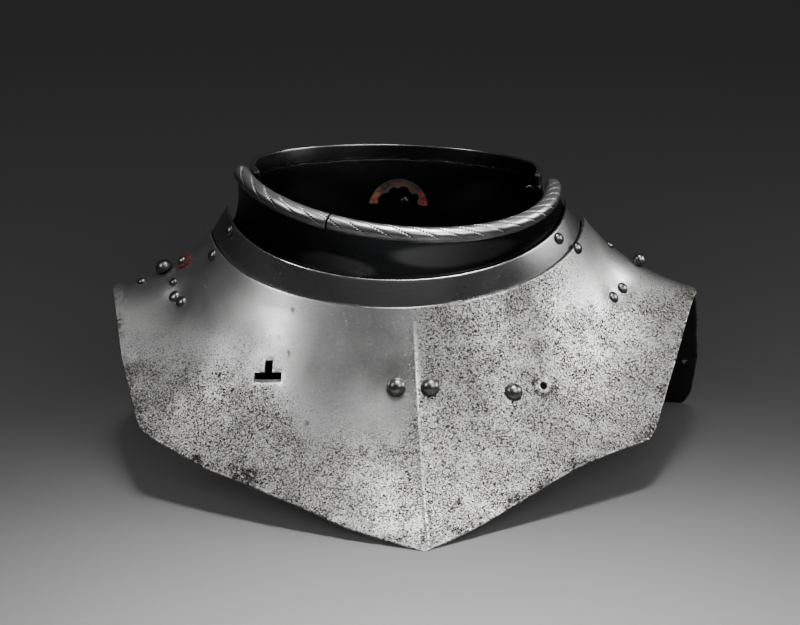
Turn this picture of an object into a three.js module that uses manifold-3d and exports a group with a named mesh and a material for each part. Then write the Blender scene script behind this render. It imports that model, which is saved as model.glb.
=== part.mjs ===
// A steel gorget: a neck guard of six plates, nested and held by rivets.
// Millimetres, +Z up. It lies as found: it stands on the tip of its front plate and on
// the lower edge of its back plate. The front faces -Y. Left and right are as seen
// from the front, and a round angle runs from 0 at the front, over 90 at the right
// shoulder and -90 at the left one, to 180 at the back.
import * as THREE from 'three';
import { mergeVertices } from 'three/addons/utils/BufferGeometryUtils.js';
import Module from 'manifold-3d';

const wasm = await Module();
wasm.setup();

// Sheet, and the clearances between pieces
const SHEET = 1.5;
const NEST_GAP = 1.0;
const FIT_GAP = 0.3;
const LAYER = SHEET + NEST_GAP;

// Neck edge of the front and back plates, as an oval that leans
const NECK_MIDDLE = -1.7;
const NECK_HALF_WIDTH = 95.2;
const NECK_FRONT_DEPTH = 76;
const NECK_BACK_DEPTH = 78;
const NECK_SIDE_HEIGHT = 120.3;
const NECK_FRONT_HEIGHT = 97;
const NECK_BACK_HEIGHT = 108;
const NECK_LEAN = 1.8;

// Top edges of the neck plates
const LAME_TOP = {
  middle: -1.5, halfWidth: 86, frontDepth: 72.3, backDepth: 73,
  sideHeight: 130.6, frontHeight: 109.8, backHeight: 121, lean: 0.6,
};
const BACK_LAME_TOP = {
  middle: -0.5, halfWidth: 79.5, frontDepth: 68, backDepth: 72,
  sideHeight: 131.5, frontHeight: 121, backHeight: 121, lean: -0.4,
};
const ROPE_RING = {
  middle: -2.1, halfWidth: 79.8, frontDepth: 68, backDepth: 68,
  sideHeight: 145.2, frontHeight: 131.4, backHeight: 145, lean: -7.2,
};
const HEM_RING = {
  middle: -0.8, halfWidth: 76.6, frontDepth: 72, backDepth: 72.4,
  sideHeight: 148.2, frontHeight: 148.2, backHeight: 144.7, lean: -2.4,
};
const ROPE_RADIUS = 4.1;
const ROPE_STAND = 1.5;
const HEM_SHARE = 0.2;
const HEM_THICKNESS = 3;
const HEM_PINCH_LEFT = 2.2;
const HEM_PINCH_RIGHT = 5.2;
const PINCH_BELOW = 0.6;
const PINCH_RUN = 3;
const BACK_LAYERS = 2;
const BACK_END_LAYERS = 2.3;
const BACK_END_POWER = 12;
const TUCK = 4.5;
const COLLAR_TUCK = 0.5;
const BACK_COLLAR_TUCK = 0.45;
const FRONT_ROCK_ROOM = 3;
const COLLAR_ROCK_ROOM = 1;
const BACK_ROCK_ROOM = 2;
const EASE = 0.12;

// Fall of the large plates away from the neck edge
const FALL = 88;
const REACH = 60;
const KEEL_ROUND = 2.9;
const KEEL_SPREAD = 11;
const KEEL_HEIGHT = 2.2;
const KEEL_RUN = 0.25;
// Round angle in degrees; the falls are shares of FALL; a bend is how hollow the slope is
const FALL_TABLE = [
  { round: 0, left: 0.975, right: 0.975, leftBend: 0.9, rightBend: 0.9 },
  { round: 14, left: 0.977, right: 1.004, leftBend: 0.75, rightBend: 0.75 },
  { round: 30, left: 0.962, right: 1.016, leftBend: 0.5, rightBend: 0.5 },
  { round: 45, left: 0.937, right: 0.994, leftBend: 0.55, rightBend: 0.55 },
  { round: 60, left: 0.812, right: 0.965, leftBend: 0.8, rightBend: 0.8 },
  { round: 76, left: 0.608, right: 0.725, leftBend: 1.4, rightBend: 1.05 },
  { round: 90, left: 0.38, right: 0.466, leftBend: 2.0, rightBend: 1.05 },
  { round: 96, left: 0.42, right: 0.505, leftBend: 1.9, rightBend: 1.05 },
  { round: 103, left: 0.66, right: 0.74, leftBend: 1.5, rightBend: 1.05 },
  { round: 114, left: 1.06, right: 1.135, leftBend: 1.0, rightBend: 1.0 },
  { round: 130, left: 1.22, right: 1.22, leftBend: 0.7, rightBend: 0.7 },
  { round: 150, left: 1.34, right: 1.34, leftBend: 0.5, rightBend: 0.5 },
  { round: 180, left: 1.4, right: 1.4, leftBend: 0.4, rightBend: 0.4 },
];

// Outlines seen from above: shares of the half width and of the reach to the tip
const HALF_WIDTH = 150;
const TIP_REACH = 155;
const FRONT_OUTLINE = [
  { leftOut: -0.97, leftFront: -0.12, rightOut: 1.01, rightFront: -0.12 },
  { leftOut: -0.979, leftFront: 0.0, rightOut: 1.02, rightFront: 0.0 },
  { leftOut: -0.944, leftFront: 0.232, rightOut: 0.921, rightFront: 0.232 },
  { leftOut: -0.892, leftFront: 0.432, rightOut: 0.832, rightFront: 0.432 },
  { leftOut: -0.877, leftFront: 0.47, rightOut: 0.818, rightFront: 0.46 },
  { leftOut: -0.85, leftFront: 0.497, rightOut: 0.797, rightFront: 0.487 },
  { leftOut: -0.661, leftFront: 0.636, rightOut: 0.631, rightFront: 0.613 },
  { leftOut: -0.459, leftFront: 0.765, rightOut: 0.405, rightFront: 0.761 },
  { leftOut: -0.222, leftFront: 0.892, rightOut: 0.2, rightFront: 0.888 },
  { leftOut: 0.026, leftFront: 1.0, rightOut: 0.026, rightFront: 1.0 },
];
const BACK_OUTLINE = [
  { leftOut: -1.0, leftFront: 0.12, rightOut: 1.03, rightFront: 0.12 },
  { leftOut: -0.97, leftFront: 0.0, rightOut: 1.015, rightFront: 0.0 },
  { leftOut: -0.965, leftFront: -0.13, rightOut: 1.045, rightFront: -0.13 },
  { leftOut: -0.95, leftFront: -0.3, rightOut: 1.076, rightFront: -0.3 },
  { leftOut: -0.93, leftFront: -0.42, rightOut: 1.074, rightFront: -0.4 },
  { leftOut: -0.9, leftFront: -0.5, rightOut: 1.052, rightFront: -0.455 },
  { leftOut: -0.85, leftFront: -0.57, rightOut: 1.02, rightFront: -0.51 },
  { leftOut: -0.6, leftFront: -0.78, rightOut: 0.72, rightFront: -0.75 },
  { leftOut: 0.0, leftFront: -0.86, rightOut: 0.0, rightFront: -0.86 },
];

// How far round each plate runs, in degrees, and how far the back tucks under
const FRONT_PLATE_END = 92.5;
const ROPE_START = -80;
const FRONT_NECK_END = 91;
const BACK_NECK_START = 84;
const BACK_COLLAR_END = 282;
const BACK_PLATE_START = 86;
const BACK_EDGE_BEHIND = 5;
const LUG_RADIUS = 7;

// Studs and rivets
const STUD_HEAD = { radius: 4.6, height: 4.4, shank: 1.6, tail: 2.6 };
const PIVOT_HEAD = { radius: 3.4, height: 5, shank: 1.7, tail: 3.2 };
const CLOSING_HEAD = { radius: 4.4, height: 4.6, shank: 1.8, tail: 3.4 };
const RIVET_HEAD = { radius: 3.1, height: 2.2, shank: 1.1, tail: 1.8 };
const SMALL_HEAD = { radius: 2.4, height: 1.8, shank: 0.9, tail: 1.5 };
const TAIL_HEIGHT = 0.8;
const ROCK_SLACK = 0.2;
const CLOSING_LIFT = 0.8;
const CLOSING_SLOT_ROOM = 0.7;
const CLOSING_SLOT_LENGTH = 30;

// Places of what is on the large plates, seen from above
const PIVOT_PLACE = { x: 123.2, y: 2.5 };
const PIVOT_AXIS = { x: -0.05, y: -0.12, z: 0.99 };
const CLOSING_PLACE = { x: -119.6, y: 0.5 };
const PLATE_RIVETS = [
  { name: 'chest_stud_left', x: -6.5, y: -92.3, head: STUD_HEAD },
  { name: 'chest_stud_middle', x: 9.9, y: -92.4, head: STUD_HEAD },
  { name: 'chest_stud_right', x: 50.6, y: -88.8, head: STUD_HEAD },
  { name: 'strap_rivet_left_upper', x: -115.1, y: -18.8, head: RIVET_HEAD },
  { name: 'strap_rivet_left_lower', x: -111.5, y: -24.1, head: RIVET_HEAD },
  { name: 'strap_rivet_right_upper', x: 112.5, y: -18.5, head: RIVET_HEAD },
  { name: 'strap_rivet_right_lower', x: 107, y: -26.5, head: RIVET_HEAD },
  { name: 'shoulder_rivet_left_middle', x: -115.2, y: -11.7, head: SMALL_HEAD },
  { name: 'shoulder_rivet_left_outer', x: -131.6, y: -1, head: SMALL_HEAD },
  { name: 'shoulder_rivet_right', x: 107.3, y: 0.3, head: SMALL_HEAD },
];
const SCRAP_RIVET_PLACE = { x: -110, y: -4.4 };
const TEE_PLACE = { x: -69.2, y: -80.1 };
const TEE_BAR_WIDTH = 14.4;
const TEE_BAR_HEIGHT = 5.5;
const TEE_STEM_WIDTH = 4.2;
const TEE_STEM_HEIGHT = 6;
const TEE_LEAN = 16;
const HOLE_PLACE = { x: 65.8, y: -82.2 };
const HOLE_RADIUS = 2;
const BACK_HOLE_PLACE = { x: 154.9, y: 48.6 };
const BACK_HOLE_RADIUS = 1.7;
const FRONT_LAME_RIVETS = [
  { name: 'front_lame_rivet_left', x: -95.1, y: -21.2 },
  { name: 'front_lame_rivet_right', x: 87.6, y: -28.3 },
];
const FRONT_COLLAR_RIVETS = [
  { name: 'front_collar_rivet_left', round: -74.4, v: 0.17 },
  { name: 'front_collar_rivet_right', round: 63.2, v: 0.18 },
];
const BACK_LAME_RIVETS = [
  { name: 'back_lame_rivet_left', round: 244, out: 4.5 },
  { name: 'back_lame_rivet_right', round: 116, out: 4.5 },
];
const BACK_COLLAR_RIVETS = [
  { name: 'back_collar_rivet_left', round: 250, v: 0.22 },
  { name: 'back_collar_rivet_right', round: 110, v: 0.22 },
];

// What is left of the leather, and the bent pin in the collar
const LINING_RIVET_ROUND = 175;
const LINING_ROUND = 177.5;
const LINING_RIVET_HEIGHT = 114;
const LINING_HALF_WIDTH = 14;
const LINING_RISE = 12.5;
const LINING_BAND = 4.5;
const LINING_THICKNESS = 1.6;
const LINING_TURNS = { start: -86, end: 96, count: 14 };
const LEATHER_THICKNESS = 1.2;
const LEATHER_RADIUS = 3.6;
// Corners of the scrap on the shoulder: turn in degrees, distance as a share of its radius
const LEATHER_CORNERS = [
  { turn: 10, share: 0.75 },
  { turn: 60, share: 0.9 },
  { turn: 115, share: 0.85 },
  { turn: 165, share: 1.25 },
  { turn: 215, share: 1.35 },
  { turn: 265, share: 0.95 },
  { turn: 320, share: 0.8 },
];
const HOOK_ROUND = 93;
const HOOK_SHARE = 0.4;
const HOOK_LENGTH = 5.5;
const HOOK_RADIUS = 0.6;
// The pin's bend, as shares of its length
const HOOK_BEND = [
  { inward: 0.0, up: 0.0 },
  { inward: 0.35, up: 0.25 },
  { inward: 0.6, up: 0.6 },
  { inward: 0.85, up: 0.72 },
  { inward: 1.1, up: 0.6 },
];

// How finely round things are cut, and how far cutting blocks reach
const RADIANS = Math.PI / 180;
const CUT_LENGTH = 24;
const BLOCK_WIDTH = 440;
const BLOCK_DEPTH = 60;
const BLOCK_HEIGHT = 200;
const NECK_CLEAR = 20;
const ROUND_STEP = 7;
const HEAD_SIDES = 8;
const DOME_ANGLES = [0, 45, 90];
// Extra round angles where the shoulder ridge bends the plates sharply
const RIDGE_ROUNDS = [81, 85, 88, 90];
const RIDGE_REAR_ROUNDS = [88, 90, 93, 96, 100];
const ROPE_STEPS = 34;
const ROPE_SIDES = 8;
const HOOK_STEPS = 8;
const HOOK_SIDES = 6;
const TOUCHING = 1e-6;
const WELD = 1e-4;
// Rows down the plates, as shares of the way from the top edge
const PLATE_ROWS = [0, 0.06, 0.14, 0.24, 0.36, 0.5, 0.66, 0.83, 1];
const BAND_ROWS = [0, 0.15, 0.4, 0.7, 1];
const HEM_ROWS = [0, HEM_SHARE - 0.02, HEM_SHARE + 0.02, 0.45, 0.7, 1];

const NECK_RING = {
  middle: NECK_MIDDLE, halfWidth: NECK_HALF_WIDTH,
  frontDepth: NECK_FRONT_DEPTH, backDepth: NECK_BACK_DEPTH,
  sideHeight: NECK_SIDE_HEIGHT, frontHeight: NECK_FRONT_HEIGHT,
  backHeight: NECK_BACK_HEIGHT, lean: NECK_LEAN,
};

// A share from 0 to 1 that starts flat and then grows evenly.
function ease(share) {
  if (share <= 0) {
    return 0;
  }
  return (1 + EASE) * share * share / (share + EASE);
}

// A point of an oval edge, moved inward by inset.
function ringPoint(ring, round, inset = 0) {
  const side = Math.sin(round * RADIANS);
  const front = Math.cos(round * RADIANS);
  const depth = front > 0 ? ring.frontDepth : ring.backDepth;
  const frontDrop = (ring.sideHeight - ring.frontHeight) * ease(front);
  const backDrop = (ring.sideHeight - ring.backHeight) * ease(-front);
  return new THREE.Vector3(
    ring.middle + (ring.halfWidth - inset) * side,
    -(depth - inset) * front,
    ring.sideHeight + ring.lean * side - frontDrop - backDrop,
  );
}

// The neck edge where the line from the middle at this round angle crosses it.
function neckPoint(round) {
  const side = Math.sin(round * RADIANS);
  const front = Math.cos(round * RADIANS);
  const depth = front > 0 ? NECK_FRONT_DEPTH : NECK_BACK_DEPTH;
  const along = Math.atan2(side / NECK_HALF_WIDTH, front / depth);
  return ringPoint(NECK_RING, along / RADIANS);
}

// Value of a column of FALL_TABLE at a round angle, on a smooth curve through its rows.
function tableValue(column, round) {
  const rows = FALL_TABLE;
  const at = Math.abs(round);
  let row = 0;
  while (row < rows.length - 2 && at > rows[row + 1].round) {
    row += 1;
  }
  const slope = (index) => {
    if (index === 0 || index === rows.length - 1) {
      return 0;
    }
    const rise = rows[index + 1][column] - rows[index - 1][column];
    return rise / (rows[index + 1].round - rows[index - 1].round);
  };
  const span = rows[row + 1].round - rows[row].round;
  const t = (at - rows[row].round) / span;
  const start = rows[row][column] * (1 + 2 * t) * (1 - t) ** 2;
  const end = rows[row + 1][column] * t * t * (3 - 2 * t);
  const startSlope = slope(row) * span * t * (1 - t) ** 2;
  const endSlope = slope(row + 1) * span * t * t * (t - 1);
  return start + end + startSlope + endSlope;
}

function signedRound(round) {
  return round > 180 ? round - 360 : round;
}

// The outer face of the large plates, out mm away from the neck edge.
function plateFace(round, out) {
  const signed = signedRound(round);
  const neck = neckPoint(round);
  const side = signed < 0 ? 'left' : 'right';
  const fall = FALL * tableValue(side, signed);
  const bend = tableValue(`${side}Bend`, signed);
  const share = out / REACH;
  const offKeel = Math.max(0, 1 - Math.abs(signed - KEEL_ROUND) / KEEL_SPREAD);
  const keel = KEEL_HEIGHT * offKeel * offKeel * share / (share + KEEL_RUN);
  return new THREE.Vector3(
    neck.x + out * Math.sin(round * RADIANS),
    neck.y - out * Math.cos(round * RADIANS),
    neck.z - fall * (1 + bend) * share / (1 + bend * share) + keel,
  );
}

// An outline table as points seen from above, from the left rear over the end to the right.
function outlinePoints(outline) {
  const place = (out, front) => new THREE.Vector2(out * HALF_WIDTH, -front * TIP_REACH);
  const left = outline.map((row) => place(row.leftOut, row.leftFront));
  const right = outline.slice(0, -1).map((row) => place(row.rightOut, row.rightFront));
  return left.concat(right.reverse());
}

// How far out from the neck edge an outline lies at a round angle.
function outlineReach(points, round) {
  const ray = new THREE.Vector2(Math.sin(round * RADIANS), -Math.cos(round * RADIANS));
  const neck = neckPoint(round);
  let reach = 0;
  for (let index = 0; index < points.length - 1; index += 1) {
    const start = points[index].clone();
    start.x -= NECK_MIDDLE;
    const edge = points[index + 1].clone().sub(points[index]);
    const area = ray.cross(edge);
    const share = -ray.cross(start) / area;
    const distance = start.cross(edge) / area;
    if (share > -TOUCHING && share < 1 + TOUCHING && distance > 0) {
      reach = distance - Math.hypot(neck.x - NECK_MIDDLE, neck.y);
    }
  }
  return reach;
}

// Round angles from start to end that pass through every corner of the outline.
function roundSteps(points, start, end, extra) {
  const corners = points.map((point) => {
    const round = Math.atan2(point.x - NECK_MIDDLE, -point.y) / RADIANS;
    return end > 180 && round < 0 ? round + 360 : round;
  });
  const inside = corners.concat(extra).filter((round) => round > start + 1 && round < end - 1);
  const stops = [start, ...inside.sort((a, b) => a - b), end];
  const steps = [start];
  for (let index = 1; index < stops.length; index += 1) {
    const gap = stops[index] - stops[index - 1];
    const count = Math.max(1, Math.ceil(gap / ROUND_STEP));
    for (let step = 1; step <= count; step += 1) {
      steps.push(stops[index - 1] + gap * step / count);
    }
  }
  return steps;
}

function evenSteps(start, end, count) {
  return Array.from({ length: count + 1 }, (unused, index) => start + (end - start) * index / count);
}

// The outward direction of a face, whose second value runs from its top edge down.
function faceNormal(face, u, v) {
  const nudge = 0.01;
  const acrossStart = face(u - nudge, v);
  const across = face(u + nudge, v).sub(acrossStart);
  const downStart = face(u, v - nudge);
  const down = face(u, v + nudge).sub(downStart);
  return down.cross(across).normalize();
}

function faceSeat(face, u, v, depth = 0) {
  const normal = faceNormal(face, u, v);
  const point = face(u, v).addScaledVector(normal, -depth);
  return { point, normal };
}

// A closed sheet that lies depth below a face and is as thick as thickness(v).
function sheetGeometry(face, us, vs, depth, thickness = () => SHEET) {
  const positions = [];
  const indices = [];
  const rows = vs.length;
  const half = us.length * rows;
  const outer = (i, j) => i * rows + j;
  const inner = (i, j) => half + i * rows + j;
  for (const layer of [0, 1]) {
    for (const u of us) {
      for (const v of vs) {
        const sunk = depth + layer * thickness(v);
        positions.push(...faceSeat(face, u, v, sunk).point.toArray());
      }
    }
  }
  const quad = (a, b, c, d) => indices.push(a, b, c, a, c, d);
  for (let i = 0; i < us.length - 1; i += 1) {
    for (let j = 0; j < rows - 1; j += 1) {
      quad(outer(i, j), outer(i, j + 1), outer(i + 1, j + 1), outer(i + 1, j));
      quad(inner(i, j), inner(i + 1, j), inner(i + 1, j + 1), inner(i, j + 1));
    }
    quad(outer(i, 0), outer(i + 1, 0), inner(i + 1, 0), inner(i, 0));
    quad(outer(i + 1, rows - 1), outer(i, rows - 1), inner(i, rows - 1), inner(i + 1, rows - 1));
  }
  const last = us.length - 1;
  for (let j = 0; j < rows - 1; j += 1) {
    quad(outer(0, j + 1), outer(0, j), inner(0, j), inner(0, j + 1));
    quad(outer(last, j), outer(last, j + 1), inner(last, j + 1), inner(last, j));
  }
  const geometry = new THREE.BufferGeometry();
  geometry.setAttribute('position', new THREE.Float32BufferAttribute(positions, 3));
  geometry.setIndex(indices);
  return geometry;
}

function solidOf(geometry) {
  const bare = geometry.clone();
  bare.deleteAttribute('normal');
  bare.deleteAttribute('uv');
  const merged = mergeVertices(bare, WELD);
  return new wasm.Manifold(new wasm.Mesh({
    numProp: 3,
    vertProperties: new Float32Array(merged.attributes.position.array),
    triVerts: new Uint32Array(merged.index.array),
  }));
}

function geometryOf(solid) {
  const data = solid.getMesh();
  const geometry = new THREE.BufferGeometry();
  geometry.setAttribute('position', new THREE.Float32BufferAttribute(data.vertProperties, 3));
  geometry.setIndex(Array.from(data.triVerts));
  geometry.computeVertexNormals();
  return geometry;
}

// Turns a geometry whose +Y points along the seat's normal into place.
function seated(geometry, seat) {
  const turn = new THREE.Quaternion().setFromUnitVectors(new THREE.Vector3(0, 1, 0), seat.normal);
  return geometry.applyQuaternion(turn).translate(...seat.point.toArray());
}

// Turns a flat shape, drawn with +Y up the face and +Z out of it, into place.
function laidOn(geometry, seat, up) {
  const right = up.clone().cross(seat.normal).normalize();
  const along = seat.normal.clone().cross(right);
  const turn = new THREE.Matrix4().makeBasis(right, along, seat.normal);
  return geometry.applyMatrix4(turn).translate(...seat.point.toArray());
}

// A round hole through the sheets at a seat.
function holeAt(seat, radius) {
  return solidOf(seated(new THREE.CylinderGeometry(radius, radius, CUT_LENGTH, HEAD_SIDES), seat));
}

// How far a sheet reaches along a seat's normal, outward and inward, under a head.
function reachUnder(solid, seat, radius) {
  const points = solid.intersect(holeAt(seat, radius)).getMesh().vertProperties;
  let outer = -CUT_LENGTH;
  let inner = CUT_LENGTH;
  for (let index = 0; index < points.length; index += 3) {
    const along = new THREE.Vector3().fromArray(points, index).sub(seat.point).dot(seat.normal);
    outer = Math.max(outer, along);
    inner = Math.min(inner, along);
  }
  return { outer, inner };
}

function domeProfile(head, base) {
  return DOME_ANGLES.map((angle) => [
    angle === 90 ? 0 : head.radius * Math.cos(angle * RADIANS),
    base + head.height * Math.sin(angle * RADIANS),
  ]);
}

function turned(profile) {
  return new THREE.LatheGeometry(profile.map(([x, y]) => new THREE.Vector2(x, y)), HEAD_SIDES);
}

// A head whose underside is at base, a shank, and a flattened tail whose top is at tailTop.
function rivetGeometry(head, base, tailTop) {
  return turned([
    [0, tailTop - TAIL_HEIGHT],
    [head.tail, tailTop - TAIL_HEIGHT],
    [head.tail, tailTop],
    [head.shank, tailTop],
    [head.shank, base],
    ...domeProfile(head, base),
  ]);
}

// A head with a shank that ends inside one sheet.
function flushRivetGeometry(head, base) {
  const end = base - SHEET;
  return turned([[0, end], [head.shank, end], [head.shank, base], ...domeProfile(head, base)]);
}

// Faces of the neck plates: from the top edge, past the edge of the plate outside it,
// down to a tucked edge that follows the inside of that plate.
function bandFace(topAt, edgeAt, tuckAt) {
  return (round, v) => {
    const top = topAt(round);
    const edge = edgeAt(round);
    const tuck = tuckAt(round);
    const above = top.distanceTo(edge);
    const m = above / (above + edge.distanceTo(tuck));
    const point = top.multiplyScalar((v - m) * (v - 1) / m);
    point.addScaledVector(edge, v * (v - 1) / (m * (m - 1)));
    return point.addScaledVector(tuck, v * (v - m) / (1 - m));
  };
}

// The round angle, from the middle of the neck, at which an oval's own angle lies.
function ovalRound(round) {
  const front = Math.cos(round * RADIANS);
  const depth = front > 0 ? NECK_FRONT_DEPTH : NECK_BACK_DEPTH;
  const across = NECK_HALF_WIDTH * Math.sin(round * RADIANS);
  const angle = Math.atan2(across, depth * front) / RADIANS;
  return round > 180 ? angle + 360 : angle;
}

// Room for a plate to rock: none at the side rivets, most at the front and back.
function rockRoom(round, room) {
  return room * Math.cos(round * RADIANS) ** 2;
}

function backInset(round) {
  return LAYER * (BACK_LAYERS + BACK_END_LAYERS * Math.sin(round * RADIANS) ** BACK_END_POWER);
}

// The back collar's ends bend in, to lie inside the rope of the front collar.
function hemPinch(round) {
  const towardEnd = Math.cos(round * RADIANS) / Math.cos(BACK_NECK_START * RADIANS);
  const most = round > 180 ? HEM_PINCH_LEFT : HEM_PINCH_RIGHT;
  return most * Math.min(1, Math.max(0, (towardEnd + PINCH_RUN) / (1 + PINCH_RUN)));
}

const frontLameFace = bandFace(
  (round) => ringPoint(LAME_TOP, round),
  (round) => ringPoint(NECK_RING, round, LAYER),
  (round) => faceSeat(plateFace, ovalRound(round), TUCK, LAYER + rockRoom(round, FRONT_ROCK_ROOM)).point,
);
const frontCollarFace = bandFace(
  (round) => ringPoint(ROPE_RING, round, ROPE_STAND - ROPE_RADIUS),
  (round) => ringPoint(LAME_TOP, round, LAYER),
  (round) => faceSeat(frontLameFace, round, COLLAR_TUCK, LAYER + rockRoom(round, COLLAR_ROCK_ROOM)).point,
);
const backLameFace = bandFace(
  (round) => ringPoint(BACK_LAME_TOP, round),
  (round) => ringPoint(NECK_RING, round, backInset(round)),
  (round) => {
    const depth = backInset(round) + rockRoom(round, BACK_ROCK_ROOM);
    return faceSeat(plateFace, ovalRound(round), TUCK, depth).point;
  },
);
const backCollarFace = bandFace(
  (round) => ringPoint(HEM_RING, round, hemPinch(round)),
  (round) => ringPoint(BACK_LAME_TOP, round, LAYER + PINCH_BELOW * hemPinch(round)),
  (round) => {
    const depth = LAYER + rockRoom(round, COLLAR_ROCK_ROOM);
    return faceSeat(backLameFace, round, BACK_COLLAR_TUCK, depth).point;
  },
);

// Where a rivet sits on the large plates, from its place seen from above.
function plateSpot(x, y) {
  const round = Math.atan2(x - NECK_MIDDLE, -y) / RADIANS;
  const neck = neckPoint(round);
  const out = Math.hypot(x - NECK_MIDDLE, y) - Math.hypot(neck.x - NECK_MIDDLE, neck.y);
  return faceSeat(plateFace, round, out);
}

// The large plates
const frontOutline = outlinePoints(FRONT_OUTLINE);
const backOutline = outlinePoints(BACK_OUTLINE);

function largePlate(outline, rounds, depth) {
  const face = (round, v) => plateFace(round, v * outlineReach(outline, signedRound(round)));
  return solidOf(sheetGeometry(face, rounds, PLATE_ROWS, depth));
}

function neckBand(face, start, end, rows = BAND_ROWS, thickness = () => SHEET) {
  const steps = Math.round((end - start) / ROUND_STEP);
  return solidOf(sheetGeometry(face, evenSteps(start, end, steps), rows, 0, thickness));
}

const ridges = RIDGE_ROUNDS.flatMap((round) => [round, -round]);
const rearRidges = RIDGE_REAR_ROUNDS.flatMap((round) => [round, 360 - round]);
const frontRounds = roundSteps(frontOutline, -FRONT_PLATE_END, FRONT_PLATE_END, [KEEL_ROUND, ...ridges]);
const backRounds = roundSteps(backOutline, BACK_PLATE_START, 360 - BACK_PLATE_START, [180, ...rearRidges]);

let frontPlate = largePlate(frontOutline, frontRounds, 0);
let backPlate = largePlate(backOutline, backRounds, LAYER);

// Both plates end level with the floor where they stand on it.
const floorBlock = new THREE.BoxGeometry(BLOCK_WIDTH, BLOCK_WIDTH, BLOCK_DEPTH);
floorBlock.translate(0, 0, -BLOCK_DEPTH / 2);
const belowFloor = solidOf(floorBlock);
frontPlate = frontPlate.subtract(belowFloor);
backPlate = backPlate.subtract(belowFloor);

// The back plate's front edge, with a round lug under each shoulder stud.
function lugCutter(studX, studY, side) {
  const shape = new THREE.Shape();
  shape.moveTo(side * NECK_CLEAR, -BLOCK_DEPTH);
  shape.lineTo(side * BLOCK_WIDTH / 2, -BLOCK_DEPTH);
  shape.lineTo(side * BLOCK_WIDTH / 2, BACK_EDGE_BEHIND);
  shape.lineTo(studX + side * LUG_RADIUS, BACK_EDGE_BEHIND);
  shape.lineTo(studX + side * LUG_RADIUS, studY);
  shape.absarc(studX, studY, LUG_RADIUS, side > 0 ? 0 : Math.PI, side > 0 ? Math.PI : 0, side > 0);
  shape.lineTo(studX - side * LUG_RADIUS, BACK_EDGE_BEHIND);
  shape.lineTo(side * NECK_CLEAR, BACK_EDGE_BEHIND);
  return solidOf(new THREE.ExtrudeGeometry(shape, {
    depth: BLOCK_HEIGHT, bevelEnabled: false, curveSegments: HEAD_SIDES,
  }));
}

backPlate = backPlate.subtract(lugCutter(PIVOT_PLACE.x, PIVOT_PLACE.y, 1));
backPlate = backPlate.subtract(lugCutter(CLOSING_PLACE.x, CLOSING_PLACE.y, -1));

let frontLame = neckBand(frontLameFace, -FRONT_NECK_END, FRONT_NECK_END);
let backLame = neckBand(backLameFace, BACK_NECK_START, 360 - BACK_NECK_START);
let frontCollar = neckBand(frontCollarFace, ROPE_START, FRONT_NECK_END);
let backCollar = neckBand(
  backCollarFace,
  BACK_NECK_START,
  BACK_COLLAR_END,
  HEM_ROWS,
  (v) => (v < HEM_SHARE ? HEM_THICKNESS : SHEET),
);

// The turned rim of the front collar, as one round bar along its top edge.
const ropeCurve = new THREE.CatmullRomCurve3(
  evenSteps(ROPE_START, FRONT_NECK_END, ROPE_STEPS - 4).map((round) => ringPoint(ROPE_RING, round)),
);
const ropeSection = new THREE.Shape().absarc(0, 0, ROPE_RADIUS, 0, 2 * Math.PI);
const ropeBar = new THREE.ExtrudeGeometry(ropeSection, {
  steps: ROPE_STEPS, curveSegments: ROPE_SIDES / 2, extrudePath: ropeCurve,
});
frontCollar = frontCollar.add(solidOf(ropeBar));

// Rivets and studs: where each sits, what it holds, and the holes that it takes
const pieces = [];

function addPiece(name, geometry, finish) {
  const material = new THREE.MeshStandardMaterial(finish);
  const mesh = new THREE.Mesh(geometry, material);
  mesh.name = name;
  pieces.push(mesh);
}

const STEEL_WORN = { color: 0x9a9a98, roughness: 0.42, metalness: 1 };
const STEEL_DARK = { color: 0x3c3d40, roughness: 0.35, metalness: 1 };
const STEEL_HEAD = { color: 0x8c8b88, roughness: 0.3, metalness: 1 };
const LEATHER_RED = { color: 0x8a2f28, roughness: 0.8, metalness: 0 };
const LEATHER_GREY = { color: 0x3a3632, roughness: 0.85, metalness: 0 };

// Puts a rivet through sheets, listed from the outside in, and returns them with its hole.
function riveted(name, head, seat, sheets, lift = 0, slack = 0) {
  const { outer } = reachUnder(sheets[0], seat, head.radius);
  const { inner } = reachUnder(sheets[sheets.length - 1], seat, head.tail);
  const geometry = rivetGeometry(head, outer + FIT_GAP + lift, inner - FIT_GAP - slack);
  addPiece(name, seated(geometry, seat), STEEL_HEAD);
  const hole = holeAt(seat, head.shank + FIT_GAP);
  return sheets.map((sheet) => sheet.subtract(hole));
}

// Heads on the front plate alone
for (const { name, x, y, head } of PLATE_RIVETS) {
  [frontPlate] = riveted(name, head, plateSpot(x, y), [frontPlate]);
}

// One shoulder rivet still holds a scrap of red leather under its head
const scrapSeat = plateSpot(SCRAP_RIVET_PLACE.x, SCRAP_RIVET_PLACE.y);
const leatherWidest = Math.max(...LEATHER_CORNERS.map(({ share }) => share));
const scrapBase = reachUnder(frontPlate, scrapSeat, LEATHER_RADIUS * leatherWidest).outer + FIT_GAP;
const scrapLift = scrapBase + LEATHER_THICKNESS - reachUnder(frontPlate, scrapSeat, SMALL_HEAD.radius).outer;
[frontPlate] = riveted('shoulder_rivet_left_inner', SMALL_HEAD, scrapSeat, [frontPlate], scrapLift);
const scrapShape = new THREE.Shape(LEATHER_CORNERS.map(({ turn, share }) => new THREE.Vector2(
  LEATHER_RADIUS * share * Math.cos(turn * RADIANS),
  LEATHER_RADIUS * share * Math.sin(turn * RADIANS),
)));
scrapShape.holes.push(new THREE.Path().absarc(0, 0, SMALL_HEAD.shank + FIT_GAP, 0, 2 * Math.PI, true));
const scrapBlock = new THREE.ExtrudeGeometry(scrapShape, {
  depth: LEATHER_THICKNESS, bevelEnabled: false, curveSegments: 5,
});
scrapBlock.translate(0, 0, scrapBase);
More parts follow.
